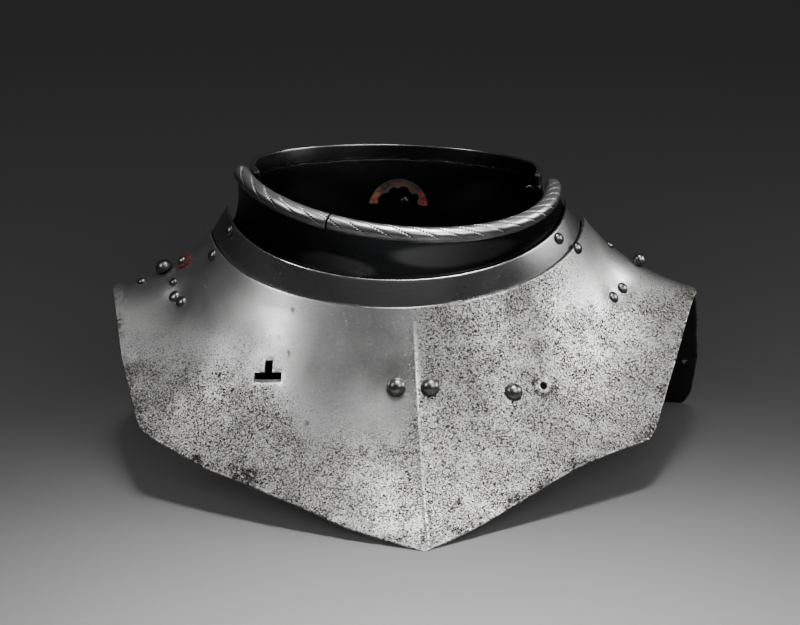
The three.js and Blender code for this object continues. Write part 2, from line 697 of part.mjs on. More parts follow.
addPiece('leather_scrap', laidOn(scrapBlock, scrapSeat, new THREE.Vector3(0, 1, 0)), LEATHER_RED);

// The pivot goes through both large plates
const pivotAxis = new THREE.Vector3(PIVOT_AXIS.x, PIVOT_AXIS.y, PIVOT_AXIS.z).normalize();
const pivotPoint = plateSpot(PIVOT_PLACE.x, PIVOT_PLACE.y).point;
const pivotSeat = { point: pivotPoint, normal: pivotAxis };
[frontPlate, backPlate] = riveted('pivot_stud', PIVOT_HEAD, pivotSeat, [frontPlate, backPlate]);

// The closing stud stands on the back plate's lug, in a slot open to the rear
const closingSeat = plateSpot(CLOSING_PLACE.x, CLOSING_PLACE.y);
const closingSlot = new THREE.Shape();
const slotHalf = CLOSING_HEAD.shank + CLOSING_SLOT_ROOM;
closingSlot.absarc(0, 0, slotHalf, Math.PI, 2 * Math.PI);
closingSlot.lineTo(slotHalf, CLOSING_SLOT_LENGTH);
closingSlot.lineTo(-slotHalf, CLOSING_SLOT_LENGTH);
const slotBlock = new THREE.ExtrudeGeometry(closingSlot, {
  depth: CUT_LENGTH, bevelEnabled: false, curveSegments: 6,
});
slotBlock.translate(0, 0, -CUT_LENGTH / 2);
const rearward = new THREE.Vector3(0, 1, 0);
const closingBase = reachUnder(frontPlate, closingSeat, CLOSING_HEAD.radius).outer;
const closingLift = CLOSING_LIFT + closingBase - reachUnder(backPlate, closingSeat, CLOSING_HEAD.radius).outer;
frontPlate = frontPlate.subtract(solidOf(laidOn(slotBlock, closingSeat, rearward)));
[backPlate] = riveted('closing_stud', CLOSING_HEAD, closingSeat, [backPlate], closingLift);

// The inverted T slot and the open hole in the chest
const tee = new THREE.Shape();
tee.moveTo(-TEE_BAR_WIDTH / 2, 0);
tee.lineTo(TEE_BAR_WIDTH / 2, 0);
tee.lineTo(TEE_BAR_WIDTH / 2, TEE_BAR_HEIGHT);
tee.lineTo(TEE_STEM_WIDTH / 2, TEE_BAR_HEIGHT);
tee.lineTo(TEE_STEM_WIDTH / 2, TEE_BAR_HEIGHT + TEE_STEM_HEIGHT);
tee.lineTo(-TEE_STEM_WIDTH / 2, TEE_BAR_HEIGHT + TEE_STEM_HEIGHT);
tee.lineTo(-TEE_STEM_WIDTH / 2, TEE_BAR_HEIGHT);
tee.lineTo(-TEE_BAR_WIDTH / 2, TEE_BAR_HEIGHT);
const teeBlock = new THREE.ExtrudeGeometry(tee, { depth: CUT_LENGTH, bevelEnabled: false });
teeBlock.translate(0, 0, -CUT_LENGTH / 2);
const upward = new THREE.Vector3(0, Math.sin(TEE_LEAN * RADIANS), Math.cos(TEE_LEAN * RADIANS));
frontPlate = frontPlate.subtract(solidOf(laidOn(teeBlock, plateSpot(TEE_PLACE.x, TEE_PLACE.y), upward)));
frontPlate = frontPlate.subtract(holeAt(plateSpot(HOLE_PLACE.x, HOLE_PLACE.y), HOLE_RADIUS));

// A small open hole in the back plate, below the right shoulder
const backHoleSeat = plateSpot(BACK_HOLE_PLACE.x, BACK_HOLE_PLACE.y);
backPlate = backPlate.subtract(holeAt(backHoleSeat, BACK_HOLE_RADIUS));

// Rivets that join two neighbouring plates and let the inner one rock
for (const { name, x, y } of FRONT_LAME_RIVETS) {
  const seat = plateSpot(x, y);
  [frontPlate, frontLame] = riveted(name, RIVET_HEAD, seat, [frontPlate, frontLame], 0, ROCK_SLACK);
}
for (const { name, round, v } of FRONT_COLLAR_RIVETS) {
  const seat = faceSeat(frontLameFace, round, v);
  [frontLame, frontCollar] = riveted(name, RIVET_HEAD, seat, [frontLame, frontCollar], 0, ROCK_SLACK);
}
for (const { name, round, out } of BACK_LAME_RIVETS) {
  const seat = faceSeat(plateFace, round, out, LAYER);
  [backPlate, backLame] = riveted(name, RIVET_HEAD, seat, [backPlate, backLame], 0, ROCK_SLACK);
}
for (const { name, round, v } of BACK_COLLAR_RIVETS) {
  const seat = faceSeat(backLameFace, round, v);
  [backLame, backCollar] = riveted(name, RIVET_HEAD, seat, [backLame, backCollar], 0, ROCK_SLACK);
}

// The share of the way down the back collar, at its middle, that lies at a height
function collarShare(height) {
  const topHeight = backCollarFace(180, 0).z;
  return (topHeight - height) / (topHeight - backCollarFace(180, 1).z);
}

// What is left of the lining: a band that arches round its rivet, inside the collar
function liningFace(turn, share) {
  const shrink = LINING_BAND * (1 - share);
  const across = (LINING_HALF_WIDTH - shrink) * Math.sin(turn * RADIANS);
  const height = LINING_RIVET_HEIGHT + (LINING_RISE - shrink) * Math.cos(turn * RADIANS);
  const round = LINING_ROUND - across / BACK_LAME_TOP.backDepth / RADIANS;
  return backCollarFace(round, collarShare(height));
}

const liningSheet = sheetGeometry(
  liningFace,
  evenSteps(LINING_TURNS.start, LINING_TURNS.end, LINING_TURNS.count),
  [0, 0.5, 1],
  SHEET + FIT_GAP,
  () => LINING_THICKNESS,
);
addPiece('lining_scrap', geometryOf(solidOf(liningSheet)), LEATHER_GREY);

const liningSeat = faceSeat(backCollarFace, LINING_RIVET_ROUND, collarShare(LINING_RIVET_HEIGHT), SHEET);
const liningInward = { point: liningSeat.point, normal: liningSeat.normal.clone().negate() };
const liningBase = reachUnder(backCollar, liningInward, RIVET_HEAD.radius).outer + FIT_GAP;
backCollar = backCollar.subtract(holeAt(liningSeat, RIVET_HEAD.shank + FIT_GAP));
addPiece('lining_rivet', seated(flushRivetGeometry(RIVET_HEAD, liningBase), liningInward), STEEL_HEAD);

// A thin pin, bent over inside the right end of the back collar
const hookDepth = SHEET + FIT_GAP + HOOK_RADIUS;
const collarHeight = HEM_RING.sideHeight - backCollarFace(HOOK_ROUND, 1).z;
const hookPath = new THREE.CatmullRomCurve3(HOOK_BEND.map(({ inward, up }) => {
  const share = HOOK_SHARE - up * HOOK_LENGTH / collarHeight;
  return faceSeat(backCollarFace, HOOK_ROUND, share, hookDepth + inward * HOOK_LENGTH).point;
}));
const hookSection = new THREE.Shape().absarc(0, 0, HOOK_RADIUS, 0, 2 * Math.PI);
const hookWire = new THREE.ExtrudeGeometry(hookSection, {
  steps: HOOK_STEPS, curveSegments: HOOK_SIDES / 2, extrudePath: hookPath,
});
addPiece('collar_hook', geometryOf(solidOf(hookWire)), STEEL_DARK);

addPiece('front_plate', geometryOf(frontPlate), STEEL_WORN);
addPiece('front_lame', geometryOf(frontLame), STEEL_DARK);
addPiece('front_collar', geometryOf(frontCollar), STEEL_WORN);
addPiece('back_plate', geometryOf(backPlate), STEEL_DARK);
addPiece('back_lame', geometryOf(backLame), STEEL_DARK);
addPiece('back_collar', geometryOf(backCollar), STEEL_DARK);

const assembly = new THREE.Group();
assembly.add(...pieces);

// The origin lies under the middle of the whole gorget, on the floor.
const extent = new THREE.Box3().setFromObject(assembly);
const centre = extent.getCenter(new THREE.Vector3());
assembly.position.set(-centre.x, -centre.y, -extent.min.z);

const gorget = new THREE.Group();
gorget.add(assembly);

export default gorget;
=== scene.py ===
import math

import bmesh
import bpy
import numpy as np
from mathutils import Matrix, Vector


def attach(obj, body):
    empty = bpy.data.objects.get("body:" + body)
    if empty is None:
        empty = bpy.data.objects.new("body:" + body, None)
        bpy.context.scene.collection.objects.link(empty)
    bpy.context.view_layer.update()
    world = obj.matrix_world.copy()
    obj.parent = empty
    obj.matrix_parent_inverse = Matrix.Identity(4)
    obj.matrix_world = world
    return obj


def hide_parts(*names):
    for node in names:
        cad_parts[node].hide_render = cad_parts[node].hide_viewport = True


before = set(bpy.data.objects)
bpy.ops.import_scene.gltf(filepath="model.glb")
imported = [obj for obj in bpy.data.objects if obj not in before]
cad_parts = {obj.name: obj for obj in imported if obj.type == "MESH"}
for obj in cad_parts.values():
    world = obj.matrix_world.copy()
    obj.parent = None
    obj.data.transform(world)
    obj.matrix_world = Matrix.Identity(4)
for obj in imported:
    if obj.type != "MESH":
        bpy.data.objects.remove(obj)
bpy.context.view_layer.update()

# Camera and studio
# The gorget lies on a pale table, seen from a little above and almost from the front.
# Two soft lamps light the table alone. Four soft cards show only in the steel, which mirrors them.
MIDDLE_X = -0.007246
MIDDLE_Y = 0.014852
CAMERA_TURN = math.radians(-3.0)
CAMERA_RISE = math.radians(16.0)
CAMERA_AWAY = 1.5
CAMERA_AIM = Vector((MIDDLE_X, MIDDLE_Y, 0.0725))

camera_data = bpy.data.cameras.new("camera")
camera_data.lens = 131.6
camera_data.sensor_width = 36.0
camera_data.clip_end = 50.0
camera = bpy.data.objects.new("camera", camera_data)
toward_camera = Vector((
    math.sin(CAMERA_TURN) * math.cos(CAMERA_RISE),
    -math.cos(CAMERA_TURN) * math.cos(CAMERA_RISE),
    math.sin(CAMERA_RISE),
))
camera.location = CAMERA_AIM + toward_camera * CAMERA_AWAY
camera.rotation_euler = toward_camera.to_track_quat("Z", "Y").to_euler()
bpy.context.scene.collection.objects.link(camera)
bpy.context.scene.camera = camera


def soft_lamp(name, place, aim, width, height, watts, spread=180.0):
    lamp_data = bpy.data.lights.new(name, "AREA")
    lamp_data.shape = "RECTANGLE"
    lamp_data.size = width
    lamp_data.size_y = height
    lamp_data.energy = watts
    lamp_data.spread = math.radians(spread)
    lamp = bpy.data.objects.new(name, lamp_data)
    lamp.location = Vector(place)
    lamp.rotation_euler = (Vector(place) - Vector(aim)).to_track_quat("Z", "Y").to_euler()
    bpy.context.scene.collection.objects.link(lamp)
    return lamp


floor_lamp = soft_lamp("floor_lamp", (0.0, -0.36, 1.15), (0.0, -0.32, 0.0), 0.34, 0.30, 0.80, 31.0)
fill_lamp = soft_lamp("fill_lamp", (0.0, -1.30, 0.50), (0.0, 0.10, 0.0), 1.5, 0.5, 2.6, 120.0)
for lamp in (floor_lamp, fill_lamp):
    lamp.visible_glossy = False
top_card = soft_lamp("top_card", (0.22, -0.30, 1.15), (0.06, -0.52, 0.0), 0.55, 0.5, 5.2, 66.0)
right_card = soft_lamp("right_card", (1.10, 0.0, 0.60), (0.06, -0.02, 0.06), 0.60, 0.36, 2.3, 90.0)
front_card = soft_lamp("front_card", (0.60, -0.78, 0.84), (0.04, -0.08, 0.06), 0.50, 0.40, 1.5, 90.0)
left_card = soft_lamp("left_card", (-0.79, -0.42, 0.80), (-0.06, -0.04, 0.06), 0.22, 0.45, 0.9, 90.0)
for card_lamp in (top_card, right_card, front_card, left_card):
    card_lamp.visible_diffuse = False

world = bpy.data.worlds.new("studio_dusk")
bpy.context.scene.world = world
world.use_nodes = True
world.node_tree.nodes["Background"].inputs["Color"].default_value = (0.03, 0.03, 0.031, 1.0)
world.node_tree.nodes["Background"].inputs["Strength"].default_value = 1.1


# The table
# A wide sheet of pale matt card, which the lamps light in the middle and leave dim far off.


class Wire:
    """A shader socket. Sums on it add Math nodes."""

    def __init__(self, tree, socket):
        self.tree = tree
        self.socket = socket

    def sum_of(self, operation, *terms):
        node = self.tree.nodes.new("ShaderNodeMath")
        node.operation = operation
        for place, term in zip(node.inputs, terms):
            if isinstance(term, Wire):
                self.tree.links.new(term.socket, place)
            else:
                place.default_value = term
        return Wire(self.tree, node.outputs[0])

    def __add__(self, other):
        return self.sum_of("ADD", self, other)

    def __radd__(self, other):
        return self.sum_of("ADD", other, self)

    def __sub__(self, other):
        return self.sum_of("SUBTRACT", self, other)

    def __rsub__(self, other):
        return self.sum_of("SUBTRACT", other, self)

    def __mul__(self, other):
        return self.sum_of("MULTIPLY", self, other)

    def __rmul__(self, other):
        return self.sum_of("MULTIPLY", other, self)

    def __truediv__(self, other):
        return self.sum_of("DIVIDE", self, other)

    def __rtruediv__(self, other):
        return self.sum_of("DIVIDE", other, self)

    def clipped(self):
        return self.sum_of("MINIMUM", self.sum_of("MAXIMUM", self, 0.0), 1.0)

    def between(self, low, high):
        """0 below low, 1 above high, straight in between."""
        return ((self - low) / (high - low)).clipped()


class Finish:
    """A material, and one way to add any node to it."""

    def __init__(self, name):
        self.material = bpy.data.materials.new(name)
        self.material.use_nodes = True
        self.tree = self.material.node_tree
        self.shader = self.tree.nodes["Principled BSDF"]

    def node(self, kind, settings, sockets, out=0):
        node = self.tree.nodes.new(kind)
        for key, value in settings.items():
            setattr(node, key, value)
        for key, value in sockets.items():
            if isinstance(value, Wire):
                self.tree.links.new(value.socket, node.inputs[key])
            else:
                node.inputs[key].default_value = value
        return Wire(self.tree, node.outputs[out])

    def blend(self, share, first, second):
        """One colour turning into another by share."""
        return self.node("ShaderNodeMix", {"data_type": "RGBA"}, {0: share, 6: first, 7: second}, 2)

    def set(self, **values):
        for key, value in values.items():
            place = self.shader.inputs[key.replace("_", " ").title().replace("Ior", "IOR")]
            if isinstance(value, Wire):
                self.tree.links.new(value.socket, place)
            else:
                place.default_value = value

    def place(self):
        """Where a point lies on the piece, in millimetres."""
        spot = self.node("ShaderNodeTexCoord", {}, {}, "Object")
        return self.node("ShaderNodeVectorMath", {"operation": "SCALE"}, {0: spot, "Scale": 1000.0})

    def noise(self, spot, per_mm, detail=3.0, rough=0.55, skew=0.0):
        return self.node(
            "ShaderNodeTexNoise", {},
            {"Vector": spot, "Scale": per_mm, "Detail": detail, "Roughness": rough, "Distortion": skew},
        )

    def stretch(self, spot, along):
        return self.node("ShaderNodeVectorMath", {"operation": "MULTIPLY"}, {0: spot, 1: along})

    def grade(self, name):
        """A share from 0 to 1 that the mesh carries."""
        return self.node("ShaderNodeAttribute", {"attribute_name": name}, {}, "Fac")

    def relief(self, height, depth, strength=1.0):
        bump = self.node("ShaderNodeBump", {}, {"Height": height, "Distance": depth, "Strength": strength})
        self.tree.links.new(bump.socket, self.shader.inputs["Normal"])


card = Finish("pale_card")
card_grain = card.noise(card.place(), 0.8, 2.0)
card.set(base_color=(0.42, 0.42, 0.42, 1.0), roughness=0.75)
card.relief(card_grain, 0.0002, 0.15)
table_mesh = bpy.data.meshes.new("table")
table_mesh.from_pydata([(-8, -4, 0), (8, -4, 0), (8, 12, 0), (-8, 12, 0)], [], [(0, 1, 2, 3)])
table = bpy.data.objects.new("table", table_mesh)
table.data.materials.append(card.material)
bpy.context.scene.collection.objects.link(table)


# Front plate
# One sheet of steel, raised by hammer into a collar that slopes to a keeled point.
# Its bright face is pitted all over and eaten along the lower edges. Everything hangs on it.
SHEET = 1.5
LAYER = 2.5
NECK_RING = {"middle": -1.7, "half": 95.2, "front": 76.0, "back": 78.0,
             "side_z": 120.3, "front_z": 97.0, "back_z": 108.0, "lean": 1.8}
FALL = 88.0
REACH = 60.0
# turn, left fall, right fall, left bend, right bend
FALLS = np.array([
    (0, 0.975, 0.975, 0.9, 0.9),
    (14, 0.977, 1.004, 0.75, 0.75),
    (30, 0.962, 1.016, 0.5, 0.5),
    (45, 0.937, 0.994, 0.55, 0.55),
    (60, 0.812, 0.965, 0.8, 0.8),
    (76, 0.608, 0.725, 1.4, 1.05),
    (90, 0.38, 0.466, 2.0, 1.05),
    (96, 0.42, 0.505, 1.9, 1.05),
    (103, 0.66, 0.74, 1.5, 1.05),
    (114, 1.06, 1.135, 1.0, 1.0),
    (130, 1.22, 1.22, 0.7, 0.7),
    (150, 1.34, 1.34, 0.5, 0.5),
    (180, 1.4, 1.4, 0.4, 0.4),
])
KEEL_TURN = 2.9
KEEL_SPREAD = 11.0
KEEL_HEIGHT = 2.2
# the border seen from above: left out, left front, right out, right front
FRONT_BORDER = [
    (-0.97, -0.12, 1.01, -0.12), (-0.979, 0.0, 1.02, 0.0), (-0.944, 0.232, 0.921, 0.232),
    (-0.892, 0.432, 0.832, 0.432), (-0.877, 0.47, 0.818, 0.46), (-0.85, 0.497, 0.797, 0.487),
    (-0.661, 0.636, 0.631, 0.613), (-0.459, 0.765, 0.405, 0.761), (-0.222, 0.892, 0.2, 0.888),
    (0.026, 1.0, 0.026, 1.0),
]
FRONT_END = 92.5
STRAP_SPOTS = [(-115.1, -18.8), (-111.5, -24.1), (112.5, -18.5), (107.0, -26.5)]
CHEST_SPOTS = [(-6.5, -92.3), (9.9, -92.4), (50.6, -88.8)]
HOLE_SPOT = (65.8, -82.2)
HOLE_RADIUS = 2.0
SLOT_HALF = 2.5
SLOT_LENGTH = 30.0
TEE_SPOT = (-69.2, -80.1)
TEE_LEAN = 16.0
CLOSING_SPOT = (-119.6, 0.5)
# broad swells left by the hammer: x, y, radius and height in mm
HAMMERED_SWELLS = [
    (-16.0, -92.0, 13.0, -0.7), (-30.0, -88.0, 14.0, 0.5), (-62.0, -66.0, 12.0, 0.7),
    (-84.0, -62.0, 13.0, -0.7), (-108.0, -66.0, 16.0, 0.8), (-136.0, -40.0, 4.0, -0.7),
    (-134.5, -58.0, 5.0, -0.6), (20.0, -92.0, 12.0, -0.4), (72.0, -66.0, 16.0, 0.6),
    (44.0, -72.0, 10.0, -0.5),
]
FLOOR_ROOM = 0.3
# pitted spots: x, y and radius in mm
RUST_SPOTS = [
    (-58.9, -75.9, 1.6), (-62.0, -70.0, 1.0), (-56.0, -66.0, 1.0), (-77.8, -108.0, 5.0),
    (-84.0, -104.0, 4.0), (-104.0, -93.0, 3.0), (-40.0, -104.0, 1.6), (-18.0, -118.0, 2.0),
    (-50.0, -98.0, 1.4), (22.0, -128.0, 2.2),
]


def eased(share):
    share = np.maximum(share, 0.0)
    return 1.12 * share * share / (share + 0.12)


def ring_edge(ring, turn, inset=0.0):
    """An oval edge that leans, moved inward by inset."""
    side = np.sin(np.radians(turn))
    front = np.cos(np.radians(turn))
    depth = np.where(front > 0, ring["front"], ring["back"])
    front_drop = (ring["side_z"] - ring["front_z"]) * eased(front)
    drop = front_drop + (ring["side_z"] - ring["back_z"]) * eased(-front)
    return np.stack([
        ring["middle"] + (ring["half"] - inset) * side,
        -(depth - inset) * front,
        ring["side_z"] + ring["lean"] * side - drop,
    ], axis=-1)


def neck_edge(turn):
    side = np.sin(np.radians(turn))
    front = np.cos(np.radians(turn))
    depth = np.where(front > 0, NECK_RING["front"], NECK_RING["back"])
    return ring_edge(NECK_RING, np.degrees(np.arctan2(side / NECK_RING["half"], front / depth)))


def fall_value(column, turn):
    """A column of FALLS at any turn, on a smooth curve through its rows."""
    at = np.abs(turn)
    stops, values = FALLS[:, 0], FALLS[:, column]
    slopes = np.zeros_like(values)
    slopes[1:-1] = (values[2:] - values[:-2]) / (stops[2:] - stops[:-2])
    row = np.clip(np.searchsorted(stops, at) - 1, 0, len(stops) - 2)
    span = stops[row + 1] - stops[row]
    t = (at - stops[row]) / span
    return (values[row] * (1 + 2 * t) * (1 - t) ** 2 + values[row + 1] * t * t * (3 - 2 * t)
            + slopes[row] * span * t * (1 - t) ** 2 + slopes[row + 1] * span * t * t * (t - 1))


def plate_face(turn, out):
    """The outer face of the two large plates, out mm away from the neck edge."""
    turn = np.where(turn > 180, turn - 360, turn) * 1.0
    neck = neck_edge(turn)
    fall = FALL * np.where(turn < 0, fall_value(1, turn), fall_value(2, turn))
    bend = np.where(turn < 0, fall_value(3, turn), fall_value(4, turn))
    share = out / REACH
    off_keel = np.maximum(0.0, 1 - np.abs(turn - KEEL_TURN) / KEEL_SPREAD)
    keel = KEEL_HEIGHT * off_keel ** 2 * share / (share + 0.25)
    return np.stack([
        neck[..., 0] + out * np.sin(np.radians(turn)),
        neck[..., 1] - out * np.cos(np.radians(turn)),
        neck[..., 2] - fall * (1 + bend) * share / (1 + bend * share) + keel,
    ], axis=-1)


def border_points(border):
    left = [(row[0] * 150.0, -row[1] * 155.0) for row in border]
    right = [(row[2] * 150.0, -row[3] * 155.0) for row in border[:-1]]
    return np.array(left + right[::-1])


def border_reach(points, turn):
    """How far out from the neck edge a border lies at each turn."""
    ray = np.stack([np.sin(np.radians(turn)), -np.cos(np.radians(turn))], -1)
    neck = neck_edge(turn)
    reach = np.zeros_like(turn)
    for start, end in zip(points[:-1], points[1:]):
        near = start - np.array([NECK_RING["middle"], 0.0])
        edge = end - start
        area = ray[..., 0] * edge[1] - ray[..., 1] * edge[0]
        share = -(ray[..., 0] * near[1] - ray[..., 1] * near[0]) / area
        far = (near[0] * edge[1] - near[1] * edge[0]) / area
        hit = (share > -1e-6) & (share < 1 + 1e-6) & (far > 0)
        reach = np.where(hit, far - np.hypot(neck[..., 0] - NECK_RING["middle"], neck[..., 1]), reach)
    return reach


def above_floor(reach, turn, depth):
    """reach, cut short where the face would go under the floor."""
    low, high = np.full_like(reach, 20.0), reach.copy()
    for _ in range(30):
        middle = (low + high) / 2
        under = face_seat(plate_face, turn, middle, depth)[0][..., 2] < FLOOR_ROOM
        high = np.where(under, middle, high)
        low = np.where(under, low, middle)
    return high


def face_seat(face, u, v, depth=0.0):
    """A point of a face, depth mm under it, and its outward direction."""
    nudge = 0.01
    across = face(u + nudge, v) - face(u - nudge, v)
    down = face(u, v + nudge) - face(u, v - nudge)
    outward = np.cross(down, across)
    outward /= np.linalg.norm(outward, axis=-1, keepdims=True)
    depth = np.asarray(depth)
    return face(u, v) - outward * (depth[..., None] if depth.ndim else depth), outward


def plate_spot(x, y):
    """Where something sits on the large plates, from its place seen from above."""
    turn = math.degrees(math.atan2(x - NECK_RING["middle"], -y))
    neck = neck_edge(np.array(turn))
    out = math.hypot(x - NECK_RING["middle"], y) - math.hypot(neck[0] - NECK_RING["middle"], neck[1])
    return face_seat(plate_face, np.array(turn), np.array(out))


def lumps(points, size, seed):
    """Smooth uneven swells of about one size in mm, from -1 to 1."""
    lattice = np.random.default_rng(seed).uniform(-1.0, 1.0, (32, 32, 32))
    cell = points / size
    low = np.floor(cell).astype(int)
    part = cell - low
    part = part * part * (3 - 2 * part)
    total = np.zeros(points.shape[:-1])
    for i in (0, 1):
        for j in (0, 1):
            for k in (0, 1):
                weight = np.ones(points.shape[:-1])
                for axis, step in enumerate((i, j, k)):
                    weight = weight * (part[..., axis] if step else 1 - part[..., axis])
                corner = (low + (i, j, k)) % 32
                total += weight * lattice[corner[..., 0], corner[..., 1], corner[..., 2]]
    return total


def spot_swell(points, spot, radius):
    """1 at a spot on the large plates, fading to 0 beyond radius."""
    centre = plate_spot(*spot)[0] if len(spot) == 2 else np.array(spot)
    away = np.linalg.norm(points - centre, axis=-1)
    return np.exp(-(away / radius) ** 2)


def steel_piece(name, points, quads, grades):
    """A mesh object from points in mm, smooth but for its sharp edges."""
    metres = (points + np.array([MIDDLE_X, MIDDLE_Y, 0.0]) * 1000.0) * 0.001
    mesh = bpy.data.meshes.new(name)
    mesh.from_pydata(metres.tolist(), [], quads)
    for key, values in grades.items():
        mesh.attributes.new(key, "FLOAT", "POINT").data.foreach_set("value", values.astype(np.float32))
    shaped = bmesh.new()
    shaped.from_mesh(mesh)
    bmesh.ops.recalc_face_normals(shaped, faces=shaped.faces)
    shaped.to_mesh(mesh)
    shaped.free()
    mesh.polygons.foreach_set("use_smooth", [True] * len(mesh.polygons))
    mesh.set_sharp_from_angle(angle=math.radians(40))
    piece = bpy.data.objects.new(name, mesh)
    bpy.context.scene.collection.objects.link(piece)
    return piece


def edge_distance(grid):
    """How far each point of a grid lies from the grid's border, in mm."""
    down = np.linalg.norm(np.diff(grid, axis=1), axis=-1)
    along = np.linalg.norm(np.diff(grid, axis=0), axis=-1)
    from_top = np.concatenate([np.zeros((grid.shape[0], 1)), np.cumsum(down, axis=1)], axis=1)
    from_start = np.concatenate([np.zeros((1, grid.shape[1])), np.cumsum(along, axis=0)], axis=0)
    from_foot = from_top[:, -1:] - from_top
    from_end = from_start[-1:, :] - from_start
    nearest = np.minimum(np.minimum(from_top, from_foot), np.minimum(from_start, from_end))
    return nearest, from_top, from_foot


def sheet_piece(name, outer, outward, thickness, swell, grades, round_edge=0.6):
    """A closed sheet of steel under a grid of points, with its edges rounded."""
    nearest, _, _ = edge_distance(outer)
    inside = np.clip(nearest, 0.0, round_edge)
    sunk = round_edge - np.sqrt(np.maximum(round_edge ** 2 - (round_edge - inside) ** 2, 0.0))
    front = outer + outward * (swell - sunk)[..., None]
    rear = outer + outward * (swell - thickness + sunk)[..., None]
    rows, columns = outer.shape[0], outer.shape[1]
    points = np.concatenate([front.reshape(-1, 3), rear.reshape(-1, 3)])
    points[:, 2] = np.maximum(points[:, 2], 0.0)
    index = np.arange(rows * columns).reshape(rows, columns)
    a, b, c, d = index[:-1, :-1], index[:-1, 1:], index[1:, 1:], index[1:, :-1]
    face = np.stack([a, b, c, d], -1).reshape(-1, 4)
    back = np.stack([a, d, c, b], -1).reshape(-1, 4) + rows * columns
    loop = np.concatenate([index[0, :-1], index[:-1, -1], index[-1, :0:-1], index[:0:-1, 0]])
    following = np.roll(loop, -1)
    rim = np.stack([following, loop, loop + rows * columns, following + rows * columns], -1)
    quads = np.concatenate([face, back, rim]).tolist()
    both = {key: np.concatenate([value.reshape(-1), value.reshape(-1)]) for key, value in grades.items()}
    return steel_piece(name, points, quads, both)


def laid_block(corners, seat, upward, below, above, foot=None):
    """A prism on a seat. Its corners, and its foot's if they differ, are drawn in mm with y up the face."""
    centre, outward = seat
    right = np.cross(upward, outward)
    right /= np.linalg.norm(right)
    along = np.cross(outward, right)
    count = len(corners)
    base = np.array([centre + right * x + along * y for x, y in corners])
    under = base if foot is None else np.array([centre + right * x + along * y for x, y in foot])
    points = np.concatenate([under - outward * below, base + outward * above])
    quads = [[i, (i + 1) % count, (i + 1) % count + count, i + count] for i in range(count)]
    caps = [list(range(count))[::-1], list(range(count, 2 * count))]
    return steel_piece("cutter", points, caps + quads, {})


def cut_away(piece, cutter):
    """Cuts a block out of a piece, and throws the block away."""
    cut = piece.modifiers.new("cut", "BOOLEAN")
    cut.operation = "DIFFERENCE"
    cut.solver = "EXACT"
    cut.object = cutter
    bpy.context.view_layer.update()
    whole = piece.evaluated_get(bpy.context.evaluated_depsgraph_get())
    mesh = bpy.data.meshes.new_from_object(whole)
    piece.modifiers.clear()
    piece.data = mesh
    bpy.data.objects.remove(cutter)
    mesh.polygons.foreach_set("use_smooth", [True] * len(mesh.polygons))
    mesh.set_sharp_from_angle(angle=math.radians(40))


front_border = border_points(FRONT_BORDER)
corner_turns = np.degrees(np.arctan2(front_border[:, 0] - NECK_RING["middle"], -front_border[:, 1]))
front_turns = np.unique(np.concatenate([
    np.linspace(-FRONT_END, FRONT_END, 330),
    corner_turns[np.abs(corner_turns) < FRONT_END - 0.3],
    [-FRONT_END + 0.12, -FRONT_END + 0.3, FRONT_END - 0.3, FRONT_END - 0.12, KEEL_TURN],
]))
edge_steps = [0.0, 0.003, 0.007, 0.012]
plate_drops = np.unique(np.concatenate([np.linspace(0, 1, 96), edge_steps, 1 - np.array(edge_steps)]))
turn_grid, drop_grid = np.meshgrid(front_turns, plate_drops, indexing="ij")
front_reach = above_floor(border_reach(front_border, front_turns), front_turns, 0.0)
front_reach = front_reach[:, None] * np.ones_like(drop_grid)
front_grid, front_outward = face_seat(plate_face, turn_grid, drop_grid * front_reach)
front_near, front_from_neck, front_from_foot = edge_distance(front_grid)
eaten = np.clip(1 - front_near / 7.0, 0, 1)
loose = np.clip((front_from_neck - 9.0) / 20.0, 0, 1) * np.clip((82.0 - np.abs(turn_grid)) / 14.0, 0, 1)
swell = loose * (0.75 * lumps(front_grid, 46.0, 11) + 0.30 * lumps(front_grid, 19.0, 12))
swell += loose * 0.05 * lumps(front_grid, 7.0, 13) + loose * 0.12 * eaten * lumps(front_grid, 2.2, 14)
for x, y, radius, height in HAMMERED_SWELLS:
    swell += loose * height * spot_swell(front_grid, (x, y), radius)
for spot in STRAP_SPOTS:
    swell -= 0.75 * spot_swell(front_grid, spot, 6.5)
for spot in CHEST_SPOTS:
    swell -= 0.30 * spot_swell(front_grid, spot, 8.0)
keel_away = (turn_grid - KEEL_TURN) * np.radians(1.0) * (front_from_neck + 80.0)
keel_line = np.exp(-(keel_away / 1.3) ** 2) * np.clip((front_from_neck - 4.0) / 20.0, 0, 1)
swell += 0.30 * keel_line
hole_centre = plate_spot(*HOLE_SPOT)[0]
hole_away = np.linalg.norm(front_grid - hole_centre, axis=-1)
swell += 0.45 * np.exp(-((hole_away - 3.0) / 1.0) ** 2)
tee_centre, tee_out = plate_spot(*TEE_SPOT)
upward = np.array([0.0, math.sin(math.radians(TEE_LEAN)), math.cos(math.radians(TEE_LEAN))])
tee_right = np.cross(upward, tee_out)
tee_right /= np.linalg.norm(tee_right)
tee_x = (front_grid - tee_centre) @ tee_right
tee_y = (front_grid - tee_centre) @ np.cross(tee_out, tee_right)
tee_away = np.minimum(
    np.hypot(np.maximum(np.abs(tee_x) - 7.2, 0), np.maximum(np.abs(tee_y - 2.75) - 2.75, 0)),
    np.hypot(np.maximum(np.abs(tee_x) - 2.1, 0), np.maximum(np.abs(tee_y - 8.5) - 3.0, 0)),
)
tee_lip = np.exp(-(tee_away / 0.9) ** 2)
hole_lip = np.exp(-((hole_away - 2.6) / 0.9) ** 2)
punched = np.exp(-((hole_away - 5.3) / 1.0) ** 2) * np.clip(0.5 + 3.0 * lumps(front_grid, 2.2, 15), 0, 1)
swell -= 0.25 * tee_lip + 0.45 * punched
rust = np.zeros_like(swell)
